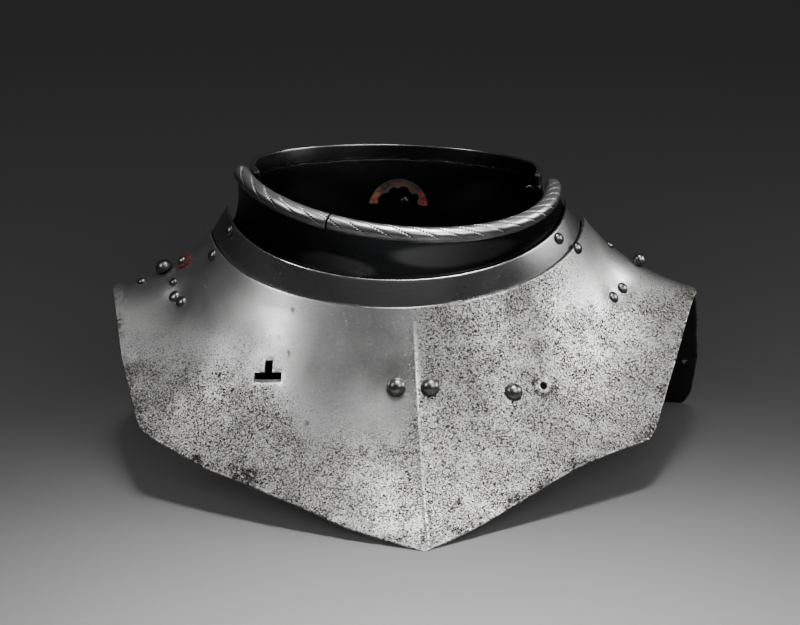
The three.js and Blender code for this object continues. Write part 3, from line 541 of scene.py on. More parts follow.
for x, y, radius in RUST_SPOTS:
    rust += 0.9 * spot_swell(front_grid, (x, y), radius) * (lumps(front_grid, 1.8, 16) > -0.1)
# The rim grade marks the sheet's edges, the lips of the slot and hole, and the keel, for a painted highlight
# where they catch the light; the keel is also rubbed bright.
front_plate = sheet_piece(
    "front_plate_steel", front_grid, front_outward, SHEET, swell,
    {"eaten": np.clip(1 - front_from_foot / 16.0, 0, 1) * (front_from_foot < front_from_neck),
     "rim": np.clip(np.clip(1 - front_near / 1.4, 0, 1) + tee_lip + hole_lip + 0.55 * keel_line, 0, 1),
     "stain": np.clip(punched * 0.8 + rust, 0, 1)},
)
stem_corners = [(-2.1, 5.0), (2.1, 5.0), (2.1, 11.5), (-2.1, 11.5)]
cut_away(front_plate, laid_block(stem_corners, plate_spot(*TEE_SPOT), upward, 8, 8))
bar_corners = [(-7.2, -1.3), (7.2, -1.3), (7.2, 5.5), (-7.2, 5.5)]
bar_foot = [(-7.2, 3.2), (7.2, 3.2), (7.2, 5.5), (-7.2, 5.5)]
cut_away(front_plate, laid_block(bar_corners, plate_spot(*TEE_SPOT), upward, 2.6, 1.0, bar_foot))
round_angles = np.linspace(0, 2 * math.pi, 24, endpoint=False)
round_corners = [(HOLE_RADIUS * math.cos(a), HOLE_RADIUS * math.sin(a)) for a in round_angles]
cut_away(front_plate, laid_block(round_corners, plate_spot(*HOLE_SPOT), upward, 8, 8))
slot_angles = np.linspace(math.pi, 2 * math.pi, 13)
slot_corners = [(SLOT_HALF * math.cos(a), SLOT_HALF * math.sin(a)) for a in slot_angles]
slot_corners += [(SLOT_HALF, SLOT_LENGTH), (-SLOT_HALF, SLOT_LENGTH)]
cut_away(front_plate, laid_block(slot_corners, plate_spot(*CLOSING_SPOT), np.array([0.0, 1.0, 0.0]), 8, 12))


def worn_steel(name, bright, dull, tarnish, smooth=0.28, rough=0.46, pitting=1.0, pitted_parts=0.0,
               streak=0.5):
    """Hammered steel: bright metal, duller clouds, dark pits, fine scratches and eaten edges; the rim grade
    adds a painted highlight.
    """
    finish = Finish(name)
    spot = finish.place()
    clouds = finish.noise(spot, 0.018, 4.0, 0.55, 0.4)
    blotches = finish.noise(spot, 0.09, 5.0, 0.62)
    grain = finish.noise(spot, 0.55, 4.0, 0.7)
    specks = finish.noise(spot, 0.95, 3.0, 0.75)
    hairs = finish.noise(finish.stretch(spot, (0.05, 0.6, 1.8)), 1.0, 2.0, 0.6)
    split = finish.node("ShaderNodeSeparateXYZ", {}, {0: spot}, "X")
    high = finish.node("ShaderNodeSeparateXYZ", {}, {0: spot}, "Z")
    shoulder = split.between(62.0, 90.0) * high.between(80.0, 98.0)
    right_part = split.between(-14.0, 2.0) * (1.0 - shoulder)
    low_part = 1.0 - high.between(34.0, 62.0)
    left_part = (1.0 - split.between(-78.0, -58.0)) * (1.0 - high.between(62.0, 88.0))
    heavy = (0.10 + pitted_parts * (right_part + low_part + 0.8 * left_part)).clipped()
    heavy = (heavy * (0.45 + 1.1 * blotches)).clipped()
    eaten_edge = finish.grade("eaten")
    rim = finish.grade("rim")
    crust = (eaten_edge * (0.2 + 1.3 * blotches) - 0.55).between(0.0, 0.4)
    pits = (specks - (0.68 - 0.17 * heavy * pitting)).between(0.0, 0.06)
    big = finish.node(
        "ShaderNodeTexVoronoi", {"feature": "F1"}, {"Vector": spot, "Scale": 0.23, "Randomness": 1.0},
        "Distance",
    )
    craters = (1.0 - big.between(0.10, 0.17)) * finish.noise(spot, 0.12, 2.0).between(0.60, 0.66) * heavy
    dark_share = (pits * 0.92 + craters + crust * grain.between(0.35, 0.6)).clipped()
    fine = finish.noise(spot, 1.7, 2.0, 0.6)
    speckle = ((fine - (0.57 - 0.14 * heavy)).between(0.0, 0.09) * (0.10 + 0.78 * heavy) * pitting).clipped()
    stain = (finish.grade("stain") * (0.3 + 1.2 * grain)).clipped()
    dark_share = (dark_share + stain).clipped()
    dullness = clouds.between(0.35, 0.72) * 0.5 + blotches.between(0.45, 0.7) * 0.3 * heavy
    dullness = dullness + 0.45 * (1.0 - heavy) * pitted_parts + (hairs - 0.5) * streak
    colour = finish.blend(dullness.clipped(), bright, dull)
    colour = finish.blend(speckle, colour, (0.07, 0.065, 0.06, 1.0))
    # Painted highlight: the rim grade lightens its marks towards pale steel, where edges and ridges catch the
    # light.
    colour = finish.blend(rim * 0.6, colour, (0.75, 0.75, 0.73, 1.0))
    colour = finish.blend(dark_share, colour, tarnish)
    finish.set(
        base_color=colour,
        metallic=(1.0 - dark_share * 0.15).clipped(),
        roughness=(smooth + (rough - smooth) * clouds.between(0.3, 0.7) + 0.10 * (grain - 0.5)
                   + 0.08 * streak * (hairs - 0.5) + dark_share * 0.4 + speckle * 0.15 - rim * 0.1).clipped(),
    )
    height = 0.35 * grain + 0.25 * streak * hairs - pits * 0.9 - craters * 1.2 - crust * grain
    finish.relief(height, 0.00022, 0.55)
    return finish.material


front_steel = worn_steel(
    "front_plate_steel", (0.60, 0.60, 0.59, 1.0), (0.33, 0.33, 0.33, 1.0), (0.022, 0.018, 0.015, 1.0),
    pitted_parts=0.85,
)
front_plate.data.materials.clear()
front_plate.data.materials.append(front_steel)
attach(front_plate, "front")
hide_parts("front_plate")


# Front lame
# A curved strip of thin steel that stands inside the front plate's neck edge.
# It is held by one rivet at each side, so that it can rock; the face is smooth, and its darker colour is
# painted shade.
LAME_TOP = {"middle": -1.5, "half": 86.0, "front": 72.3, "back": 73.0,
            "side_z": 130.6, "front_z": 109.8, "back_z": 121.0, "lean": 0.6}
TUCK = 4.5
NECK_END = 91.0
EDGE_STEPS = np.array([0.0, 0.006, 0.016, 0.03])


def oval_turn(turn):
    """The turn, from the middle of the neck, at which an oval's own turn lies."""
    front = np.cos(np.radians(turn))
    depth = np.where(front > 0, NECK_RING["front"], NECK_RING["back"])
    angle = np.degrees(np.arctan2(NECK_RING["half"] * np.sin(np.radians(turn)), depth * front))
    return np.where(np.asarray(turn) > 180, angle + 360, angle)


def rock_room(turn, room):
    return room * np.cos(np.radians(turn)) ** 2


def band_face(top_at, edge_at, tuck_at):
    """A neck plate's face: from its top edge, past the next plate's edge, to its tucked edge."""
    def face(turn, share):
        top, edge, tuck = top_at(turn), edge_at(turn), tuck_at(turn)
        above = np.linalg.norm(top - edge, axis=-1)
        m = above / (above + np.linalg.norm(edge - tuck, axis=-1))
        first = (share - m) * (share - 1) / m
        second = share * (share - 1) / (m * (m - 1))
        third = share * (share - m) / (1 - m)
        return top * first[..., None] + edge * second[..., None] + tuck * third[..., None]
    return face


front_lame_face = band_face(
    lambda turn: ring_edge(LAME_TOP, turn),
    lambda turn: ring_edge(NECK_RING, turn, LAYER),
    lambda turn: face_seat(
        plate_face, oval_turn(turn), np.full_like(turn, TUCK), LAYER + rock_room(turn, 3.0),
    )[0],
)


def band_grid(face, start, end, columns, rows):
    turns = np.unique(np.concatenate([
        np.linspace(start, end, columns), [start + 0.15, start + 0.4, end - 0.4, end - 0.15],
    ]))
    drops = np.unique(np.concatenate([np.linspace(0, 1, rows), EDGE_STEPS, 1 - EDGE_STEPS]))
    turn, drop = np.meshgrid(turns, drops, indexing="ij")
    grid, outward = face_seat(face, turn, drop)
    return turn, drop, grid, outward


def dark_band(name, face, start, end, columns, rows, seed, body, node, material,
              reflection_spots=()):
    """A neck plate of even sheet, a little wavy from the hammer.

    The last argument gives the turn, share, half width and height of each soft reflection that is painted
    brighter; the top edge gets a painted highlight.
    """
    turn, drop, grid, outward = band_grid(face, start, end, columns, rows)
    near, from_top, _ = edge_distance(grid)
    wave = 0.16 * lumps(grid, 26.0, seed) + 0.05 * lumps(grid, 9.0, seed + 1)
    # Painted reflection: soft brighter spots where the band mirrors the lamps, and a painted highlight along
    # the top edge.
    painted_reflection = np.zeros_like(drop)
    for at, share, half, height in reflection_spots:
        painted_reflection += 0.45 * np.clip(1.6 - ((turn - at) / half) ** 2 - ((drop - share) / height) ** 2, 0, 0.6)
    band = sheet_piece(name, grid, outward, SHEET, wave, {
        "eaten": np.zeros_like(drop), "rim": np.clip(1 - from_top / 1.3, 0, 1) * (near < 1.3) + 0.5 * painted_reflection,
    })
    band.data.materials.append(material)
    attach(band, body)
    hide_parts(node)


# A darker copy of the plate's steel: painted shade for the lame, which lies in the hollow inside the neck
# edge.
lame_shaded_steel = worn_steel(
    "front_lame_steel", (0.25, 0.25, 0.25, 1.0), (0.11, 0.11, 0.11, 1.0), (0.015, 0.013, 0.012, 1.0),
    smooth=0.24, rough=0.38, pitting=0.6,
)
dark_band("front_lame_steel", front_lame_face, -NECK_END, NECK_END, 260, 30, 21,
          "front_lame", "front_lame", lame_shaded_steel)


# Front collar
# The standing collar in front of the throat, set inside the lame and riveted to it at the sides.
# Its wall is painted almost black, as painted shade for the dark surroundings that it mirrors. Its top edge
# is turned over and filed into a rope.
ROPE_RING = {"middle": -2.1, "half": 79.8, "front": 68.0, "back": 68.0,
             "side_z": 145.2, "front_z": 131.4, "back_z": 145.0, "lean": -7.2}
ROPE_RADIUS = 4.1
ROPE_STAND = 1.5
ROPE_START = -80.0
ROPE_CUT = 0.75
ROPE_PITCH = 11.0
# the turn at which the rim is cracked across
ROPE_CRACK = -26.7

front_collar_face = band_face(
    lambda turn: ring_edge(ROPE_RING, turn, ROPE_STAND - ROPE_RADIUS),
    lambda turn: ring_edge(LAME_TOP, turn, LAYER),
    lambda turn: face_seat(front_lame_face, turn, np.full_like(turn, 0.5), LAYER + rock_room(turn, 1.0))[0],
)
# A near-black copy of the steel: painted shade for the collar wall.
collar_shaded_steel = worn_steel(
    "front_collar_steel", (0.020, 0.021, 0.022, 1.0), (0.008, 0.008, 0.009, 1.0), (0.012, 0.011, 0.010, 1.0),
    smooth=0.20, rough=0.30, pitting=0.35,
)
# The two spots listed last are painted reflections on the collar wall.
dark_band(
    "front_collar_wall", front_collar_face, ROPE_START, NECK_END, 260, 34, 31, "front_collar", "front_collar",
    collar_shaded_steel, [(19.0, 0.30, 20.0, 0.16), (-24.0, 0.55, 12.0, 0.12)],
)


def rope_rim():
    """The rolled rim: a bar with long slanting file cuts over its upper part."""
    stations = np.linspace(ROPE_START, NECK_END, 1100)
    line = ring_edge(ROPE_RING, stations)
    travel = np.concatenate([[0], np.cumsum(np.linalg.norm(np.diff(line, axis=0), axis=-1))])
    ahead = np.gradient(line, axis=0)
    ahead /= np.linalg.norm(ahead, axis=-1, keepdims=True)
    up = np.array([0.0, 0.0, 1.0]) - ahead * ahead[:, 2:3]
    up /= np.linalg.norm(up, axis=-1, keepdims=True)
    out = np.cross(ahead, up)
    pitch = ROPE_PITCH * (1.05 - 0.40 * np.clip((travel - 150) / 60, 0, 1))
    turns_so_far = np.concatenate([[0], np.cumsum(np.diff(travel) / pitch[1:])])
    sides = np.linspace(0, 360, 40, endpoint=False)
    angle = np.where(sides > 200, sides - 360, sides)
    slant = (120 - angle) * 17.0 / 120 / ROPE_PITCH
    phase = turns_so_far[:, None] - slant[None, :] + 0.08 * lumps(line, 9.0, 41)[:, None]
    past = phase - np.floor(phase)
    fade = np.clip((angle + 22) / 20, 0, 1) * np.clip((165 - angle) / 25, 0, 1)
    cut = ROPE_CUT * (np.exp(-(past / 0.075) ** 1.5) + np.exp(-((1 - past) / 0.035) ** 2))
    cut = cut - 0.12 * np.sin(past * math.pi)
    cut = cut * fade[None, :] * (0.75 + 0.3 * lumps(line, 14.0, 42))[:, None]
    cut = np.maximum(cut, ROPE_CUT * np.exp(-((stations - ROPE_CRACK) / 0.35) ** 2)[:, None])
    radius = ROPE_RADIUS - cut + 0.05 * lumps(line, 6.0, 43)[:, None]
    left_round = np.clip(travel / 3.5, 0, 1)
    right_round = np.clip((travel[-1] - travel) / 0.8, 0, 1)
    radius = radius * np.sqrt(1 - (1 - left_round) ** 2 * 0.97)[:, None]
    radius = radius * (0.90 + 0.10 * right_round)[:, None]
    across = np.cos(np.radians(sides))[None, :, None]
    rise = np.sin(np.radians(sides))[None, :, None]
    wave = across * out[:, None] + rise * up[:, None]
    points = (line[:, None] + radius[..., None] * wave)
    rows, columns = points.shape[:2]
    index = np.arange(rows * columns).reshape(rows, columns)
    beside = np.roll(index, -1, axis=1)
    quads = np.stack([index[:-1], beside[:-1], beside[1:], index[1:]], -1).reshape(-1, 4).tolist()
    quads += [index[0].tolist(), index[-1][::-1].tolist()]
    depth = np.clip(cut / ROPE_CUT, 0, 1)
    crown = np.clip(np.sin(np.radians(sides)), 0, 1)[None, :] * np.ones_like(depth)
    return steel_piece("front_collar_rope", points.reshape(-1, 3), quads, {
        "cut": depth.reshape(-1), "crown": crown.reshape(-1),
    })


rope = rope_rim()
rope_finish = Finish("rope_steel")
rope_spot = rope_finish.place()
rope_grain = rope_finish.noise(rope_spot, 0.7, 4.0, 0.65)
rope_cloud = rope_finish.noise(rope_spot, 0.10, 3.0, 0.5)
rope_cut = rope_finish.grade("cut")
rope_crown = rope_finish.grade("crown")
# Painted shade darkens the file cuts, with real dark specks from the grain; the rope is also painted lighter
# on its upper side and darker below, as light falls from above.
rope_cut_shade_and_specks = (rope_cut.between(0.16, 0.5) + rope_grain.between(0.66, 0.74) * 0.6).clipped()
rope_top_light_and_tone = rope_finish.blend((0.25 + 0.75 * rope_crown - 0.5 * (rope_cloud - 0.4)).clipped(),
                              (0.06, 0.06, 0.06, 1.0), (0.85, 0.85, 0.84, 1.0))
rope_finish.set(
    base_color=rope_finish.blend(rope_cut_shade_and_specks, rope_top_light_and_tone, (0.008, 0.008, 0.007, 1.0)),
    metallic=1.0,
    roughness=(0.26 + 0.12 * rope_cloud + 0.35 * rope_cut_shade_and_specks).clipped(),
)
rope_finish.relief(rope_grain, 0.00015, 0.4)
rope.data.materials.append(rope_finish.material)
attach(rope, "front_collar")
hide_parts("front_collar")


# Back plate
# The plate over the shoulders and the upper back, of the same hammered sheet.
# It lies under the front plate at both shoulders and turns on the right-hand stud.
BACK_BORDER = [
    (-1.0, 0.12, 1.03, 0.12), (-0.97, 0.0, 1.015, 0.0), (-0.965, -0.13, 1.045, -0.13),
    (-0.95, -0.3, 1.076, -0.3), (-0.93, -0.42, 1.074, -0.4), (-0.9, -0.5, 1.052, -0.455),
    (-0.85, -0.57, 1.02, -0.51), (-0.6, -0.78, 0.72, -0.75), (0.0, -0.86, 0.0, -0.86),
]
BACK_START = 86.0
BACK_FRONT_LINE = 5.0
LUG_RADIUS = 7.0
PIVOT_SPOT = (123.2, 2.5)
BACK_HOLE_SPOT = (154.9, 48.6)
BACK_HOLE_RADIUS = 1.7
# where the front right corner is sunk a little, to pass under the front plate
BACK_CORNER_SPOT = (150.8, 5.2)

back_border = border_points(BACK_BORDER)
back_corners = np.degrees(np.arctan2(back_border[:, 0] - NECK_RING["middle"], -back_border[:, 1])) % 360
back_turns = np.unique(np.concatenate([
    np.linspace(BACK_START, 360 - BACK_START, 280),
    back_corners[(back_corners > BACK_START + 0.3) & (back_corners < 360 - BACK_START - 0.3)],
]))
back_drops = np.unique(np.concatenate([np.linspace(0, 1, 80), edge_steps, 1 - np.array(edge_steps)]))
turn_grid, drop_grid = np.meshgrid(back_turns, back_drops, indexing="ij")
signed_turns = np.where(turn_grid > 180, turn_grid - 360, turn_grid)
back_reach = above_floor(border_reach(back_border, signed_turns[:, 0]), back_turns, LAYER)
back_reach = back_reach[:, None] * np.ones_like(drop_grid)
back_grid, back_outward = face_seat(plate_face, turn_grid, drop_grid * back_reach, LAYER)
back_near, _, back_from_foot = edge_distance(back_grid)
back_loose = np.clip((np.abs(180.0 - turn_grid) - 76.0) / -14.0, 0, 1)
# The rim grade marks its edges for a painted highlight.
back_plate = sheet_piece(
    "back_plate_steel", back_grid, back_outward, SHEET,
    back_loose * (0.25 * lumps(back_grid, 40.0, 51) + 0.10 * lumps(back_grid, 16.0, 52))
    - 0.8 * spot_swell(back_grid, BACK_CORNER_SPOT, 9.0),
    {"eaten": np.clip(1 - back_from_foot / 12.0, 0, 1), "rim": np.clip(1 - back_near / 1.2, 0, 1)},
)


def lug_block(spot, side):
    """All that lies in front of the back plate's front edge, but for a round lug."""
    x, y = spot
    corners = [(side * 20, -60), (side * 220, -60), (side * 220, BACK_FRONT_LINE),
               (x + side * LUG_RADIUS, BACK_FRONT_LINE)]
    arc = np.linspace(0, math.pi, 17)
    corners += [(x + side * LUG_RADIUS * math.cos(a), y - LUG_RADIUS * math.sin(a)) for a in arc]
    corners += [(x - side * LUG_RADIUS, BACK_FRONT_LINE), (side * 20, BACK_FRONT_LINE)]
    flat = np.array([0.0, 1.0, 0.0])
    return laid_block(corners, (np.zeros(3), np.array([0.0, 0.0, 1.0])), flat, 10, 200)


hole_angles = np.linspace(0, 2 * math.pi, 20, endpoint=False)
hole_round = [(BACK_HOLE_RADIUS * math.cos(a), BACK_HOLE_RADIUS * math.sin(a)) for a in hole_angles]
cut_away(back_plate, laid_block(hole_round, plate_spot(*BACK_HOLE_SPOT), upward, 12, 12))
cut_away(back_plate, lug_block(PIVOT_SPOT, 1))
cut_away(back_plate, lug_block(CLOSING_SPOT, -1))
# A near-black copy of the steel: painted shade for the back plate, whose faces seen here lie in shadow.
back_shaded_steel = worn_steel(
    "back_plate_steel", (0.055, 0.055, 0.055, 1.0), (0.025, 0.025, 0.025, 1.0), (0.012, 0.011, 0.010, 1.0),
    smooth=0.30, rough=0.45, pitting=0.7,
)
back_plate.data.materials.clear()
back_plate.data.materials.append(back_shaded_steel)
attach(back_plate, "back")
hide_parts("back_plate")


# Back lame
# The strip between the back plate and the back collar, painted dark as painted shade like the rest of the
# inside.
BACK_LAME_TOP = {"middle": -0.5, "half": 79.5, "front": 68.0, "back": 72.0,
                 "side_z": 131.5, "front_z": 121.0, "back_z": 121.0, "lean": -0.4}
BACK_NECK_START = 84.0


def back_inset(turn):
    return LAYER * (2.0 + 2.3 * np.sin(np.radians(turn)) ** 12)


def ring_edge_by(ring, turn, inset):
    """ring_edge with an inset that changes along the edge."""
    side = np.sin(np.radians(turn))
    front = np.cos(np.radians(turn))
    return ring_edge(ring, turn) - np.stack([inset * side, -inset * front, 0 * side], -1)


back_lame_face = band_face(
    lambda turn: ring_edge(BACK_LAME_TOP, turn),
    lambda turn: ring_edge_by(NECK_RING, turn, back_inset(turn)),
    lambda turn: face_seat(
        plate_face, oval_turn(turn), np.full_like(turn, TUCK), back_inset(turn) + rock_room(turn, 2.0),
    )[0],
)
# A near-black copy of the steel: painted shade for the inside of the neck, used by the back lame, the back
# collar and the lining rivet.
inner_shaded_steel = worn_steel(
    "back_collar_steel", (0.030, 0.030, 0.031, 1.0), (0.014, 0.014, 0.015, 1.0), (0.012, 0.011, 0.010, 1.0),
    smooth=0.26, rough=0.38, pitting=0.3,
)
dark_band("back_lame_steel", back_lame_face, BACK_NECK_START, 360 - BACK_NECK_START, 240, 26, 61,
          "back_lame", "back_lame", inner_shaded_steel)


# Back collar
# The standing collar behind the neck; its inside is what the neck opening shows.
# Its top edge is folded inward into a flat hem with an uneven lower edge.
HEM_RING = {"middle": -0.8, "half": 76.6, "front": 72.0, "back": 72.4,
            "side_z": 148.2, "front_z": 148.2, "back_z": 144.7, "lean": -2.4}
HEM_THICKNESS = 2.9
HEM_SHARE = 0.21
COLLAR_END = 282.0


def hem_pinch(turn):
    toward_end = np.cos(np.radians(turn)) / math.cos(math.radians(BACK_NECK_START))
    return np.where(turn > 180, 2.2, 5.2) * np.clip((toward_end + 3.0) / 4.0, 0, 1)


back_collar_face = band_face(
    lambda turn: ring_edge_by(HEM_RING, turn, hem_pinch(turn)),
    lambda turn: ring_edge_by(BACK_LAME_TOP, turn, LAYER + 0.6 * hem_pinch(turn)),
    lambda turn: face_seat(back_lame_face, turn, np.full_like(turn, 0.45), LAYER + rock_room(turn, 1.0))[0],
)
_, hem_drop, hem_grid, hem_outward = band_grid(back_collar_face, BACK_NECK_START, COLLAR_END, 300, 90)
hem_near, hem_from_top, _ = edge_distance(hem_grid)
hem_edge = HEM_SHARE + 0.018 * lumps(hem_grid, 13.0, 71) + 0.008 * lumps(hem_grid, 4.0, 72)
hem_step = np.clip((hem_edge - hem_drop) / 0.012, 0, 1)
# Painted highlight along the hem's lower edge and the collar's top edge, where they catch the light.
hem_highlight = np.exp(-((hem_drop - hem_edge) / 0.012) ** 2)
hem_highlight += np.clip(1 - hem_from_top / 1.2, 0, 1) * (hem_near < 1.2)
back_collar = sheet_piece(
    "back_collar_steel", hem_grid, hem_outward, SHEET + (HEM_THICKNESS - SHEET) * hem_step,
    0.16 * lumps(hem_grid, 26.0, 73),
    {"eaten": np.zeros_like(hem_drop), "rim": np.clip(hem_highlight, 0, 1)},
)
back_collar.data.materials.append(inner_shaded_steel)
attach(back_collar, "back_collar")
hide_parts("back_collar")


# Studs and rivets
# Steel heads, hammered round, on shanks whose inner ends are beaten flat.
# The big ones held straps and the next pieces of the armour; two pairs hold the neck plates.
STUD_HEAD = {"radius": 4.6, "height": 4.4, "shank": 1.6, "tail": 2.6}
PIVOT_HEAD = {"radius": 3.4, "height": 5.0, "shank": 1.7, "tail": 3.2}
CLOSING_HEAD = {"radius": 4.4, "height": 4.6, "shank": 1.8, "tail": 3.4}
RIVET_HEAD = {"radius": 3.1, "height": 2.2, "shank": 1.1, "tail": 1.8}
SMALL_HEAD = {"radius": 2.4, "height": 1.8, "shank": 0.9, "tail": 1.5}

stud_finish = Finish("stud_steel")
stud_spot = stud_finish.place()
stud_grain = stud_finish.noise(stud_spot, 0.9, 3.0, 0.6)
stud_cloud = stud_finish.noise(stud_spot, 0.28, 3.0, 0.55)
stud_crown = stud_finish.grade("crown")
# Painted shade darkens each head's flanks near its base, under the light from above, with real dark specks
# from the grain.
stud_flank_shade_and_specks = (1.0 - stud_crown.between(0.05, 0.35) + stud_grain.between(0.64, 0.72) * 0.7).clipped()
stud_tone = stud_finish.blend(
    stud_cloud.between(0.35, 0.65), (0.24, 0.24, 0.235, 1.0), (0.10, 0.10, 0.098, 1.0),
)
stud_finish.set(
    base_color=stud_finish.blend(stud_flank_shade_and_specks, stud_tone, (0.035, 0.031, 0.028, 1.0)),
    metallic=1.0 - stud_flank_shade_and_specks * 0.4,
    roughness=(0.24 + 0.14 * stud_cloud + 0.25 * stud_flank_shade_and_specks).clipped(),
)
stud_finish.relief(stud_grain, 0.00012, 0.5)


def rivet_piece(name, head, seat, inner, body, node, material=None, lift=0.0):
    """A rivet turned round its seat: domed head, shank, and a flattened tail inner mm down."""
    centre, outward = seat
    side = np.cross(outward, [0.0, 0.0, 1.0])
    side /= np.linalg.norm(side)
    other = np.cross(outward, side)
    base = lift - 0.15
    profile = [
        (0.0, -inner - 0.8, 0.0), (head["tail"] * 0.8, -inner - 0.75, 0.0), (head["tail"], -inner - 0.4, 0.0),
        (head["tail"] * 0.96, -inner, 0.0), (head["shank"], -inner, 0.0), (head["shank"], base, 0.0),
        (head["radius"] * 0.97, base, 0.0), (head["radius"], base + 0.12 * head["height"], 0.1),
    ]
    for angle in (12, 22, 32, 42, 52, 62, 72, 82, 90):
        profile.append((head["radius"] * math.cos(math.radians(angle)),
                        base + 0.1 * head["height"] + 0.9 * head["height"] * math.sin(math.radians(angle)),
                        angle / 90))
    steps = 40
    turns = np.linspace(0, 2 * math.pi, steps, endpoint=False)
    rings = np.array([
        [centre + outward * height + (side * math.cos(t) + other * math.sin(t)) * radius for t in turns]
        for radius, height, _ in profile
    ])
    beaten = np.array([share for _, _, share in profile])[:, None]
    rings += outward * (beaten * 0.10 * lumps(rings, 2.6, 81))[..., None]
    rows = len(profile)
    index = np.arange(rows * steps).reshape(rows, steps)
    beside = np.roll(index, -1, axis=1)
    quads = np.stack([index[:-1], beside[:-1], beside[1:], index[1:]], -1).reshape(-1, 4).tolist()
    crown = np.repeat([share for _, _, share in profile], steps)
    rivet = steel_piece(name, rings.reshape(-1, 3), quads, {"crown": crown})
    shaped = bmesh.new()
    shaped.from_mesh(rivet.data)
    bmesh.ops.remove_doubles(shaped, verts=shaped.verts, dist=1e-6)
    bmesh.ops.recalc_face_normals(shaped, faces=shaped.faces)
    shaped.to_mesh(rivet.data)
    shaped.free()
    rivet.data.materials.append(material or stud_finish.material)
    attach(rivet, body)
    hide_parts(node)
    return rivet


PLATE_HEADS = [
    ("chest_stud_left", (-6.5, -92.3), STUD_HEAD),
    ("chest_stud_middle", (9.9, -92.4), STUD_HEAD),
    ("chest_stud_right", (50.6, -88.8), STUD_HEAD),
    ("strap_rivet_left_upper", (-115.1, -18.8), RIVET_HEAD),
    ("strap_rivet_left_lower", (-111.5, -24.1), RIVET_HEAD),
    ("strap_rivet_right_upper", (112.5, -18.5), RIVET_HEAD),
    ("strap_rivet_right_lower", (107.0, -26.5), RIVET_HEAD),
    ("shoulder_rivet_left_middle", (-115.2, -11.7), SMALL_HEAD),
    ("shoulder_rivet_left_outer", (-131.6, -1.0), SMALL_HEAD),
    ("shoulder_rivet_right", (107.3, 0.3), SMALL_HEAD),
]
for node, spot, head in PLATE_HEADS:
    centre, outward = plate_spot(*spot)
    sink = {STUD_HEAD["radius"]: 0.30, RIVET_HEAD["radius"]: 0.85}.get(head["radius"], 0.0)
    rivet_piece(node + "_head", head, (centre - outward * sink, outward), SHEET + 0.4, "front", node)

FRONT_LAME_RIVETS = [("front_lame_rivet_left", (-95.1, -21.2)), ("front_lame_rivet_right", (87.6, -28.3))]
for node, spot in FRONT_LAME_RIVETS:
    rivet_piece(node + "_head", RIVET_HEAD, plate_spot(*spot), SHEET + LAYER + 1.2, "front", node)
FRONT_COLLAR_RIVETS = [("front_collar_rivet_left", -74.4, 0.17), ("front_collar_rivet_right", 63.2, 0.18)]
for node, turn, share in FRONT_COLLAR_RIVETS:
    seat = face_seat(front_lame_face, np.array(turn), np.array(share))
    rivet_piece(node + "_head", RIVET_HEAD, seat, SHEET + LAYER + 1.0, "front_lame", node)
BACK_LAME_RIVETS = [("back_lame_rivet_left", 244.0), ("back_lame_rivet_right", 116.0)]
for node, turn in BACK_LAME_RIVETS:
    seat = face_seat(plate_face, np.array(turn), np.array(4.5), LAYER)
    rivet_piece(node + "_head", RIVET_HEAD, seat, float(SHEET + back_inset(turn) - LAYER + 1.2), "back", node)
BACK_COLLAR_RIVETS = [("back_collar_rivet_left", 250.0), ("back_collar_rivet_right", 110.0)]
for node, turn in BACK_COLLAR_RIVETS:
    seat = face_seat(back_lame_face, np.array(turn), np.array(0.22))
    rivet_piece(node + "_head", RIVET_HEAD, seat, SHEET + LAYER + 1.0, "back_lame", node)


# Shoulder studs
# The tall round-headed stud on the right shoulder is the pivot of both large plates.
# The wide dome on the left one stands on the back plate and comes up through the slot.
PIVOT_AXIS = np.array([-0.05, -0.12, 0.99])
pivot_centre = plate_spot(*PIVOT_SPOT)[0]
pivot_seat = (pivot_centre, PIVOT_AXIS / np.linalg.norm(PIVOT_AXIS))
rivet_piece("pivot_stud_head", PIVOT_HEAD, pivot_seat, 7.0, "front", "pivot_stud", lift=1.4)
rivet_piece("closing_stud_head", CLOSING_HEAD, plate_spot(*CLOSING_SPOT), SHEET + LAYER + 0.6,
            "back", "closing_stud", lift=0.9)


# Leather scraps
# Torn leather: a red shred under a rivet head on the left shoulder, and an arch of the lining
# that is still pinned inside the back collar, grey on top and dull red where it split.
SCRAP_SPOT = (-110.0, -4.4)
scrap_centre, scrap_outward = plate_spot(*SCRAP_SPOT)
rivet_piece("shoulder_rivet_left_inner_head", SMALL_HEAD, (scrap_centre, scrap_outward), SHEET + 0.4,
            "front", "shoulder_rivet_left_inner", lift=1.6)

red_leather = Finish("red_leather")
red_spot = red_leather.place()
red_grain = red_leather.noise(red_spot, 1.4, 5.0, 0.7)
red_leather.set(
    base_color=red_leather.blend(
        red_grain.between(0.35, 0.65), (0.30, 0.055, 0.035, 1.0), (0.13, 0.03, 0.022, 1.0),
    ),
    roughness=0.82,
)
red_leather.relief(red_grain, 0.0004, 0.8)


def leather_piece(name, points, quads, material, body, node, grades):
    piece = steel_piece(name, points, quads, grades)
    piece.data.materials.append(material)
    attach(piece, body)
    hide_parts(node)
    return piece


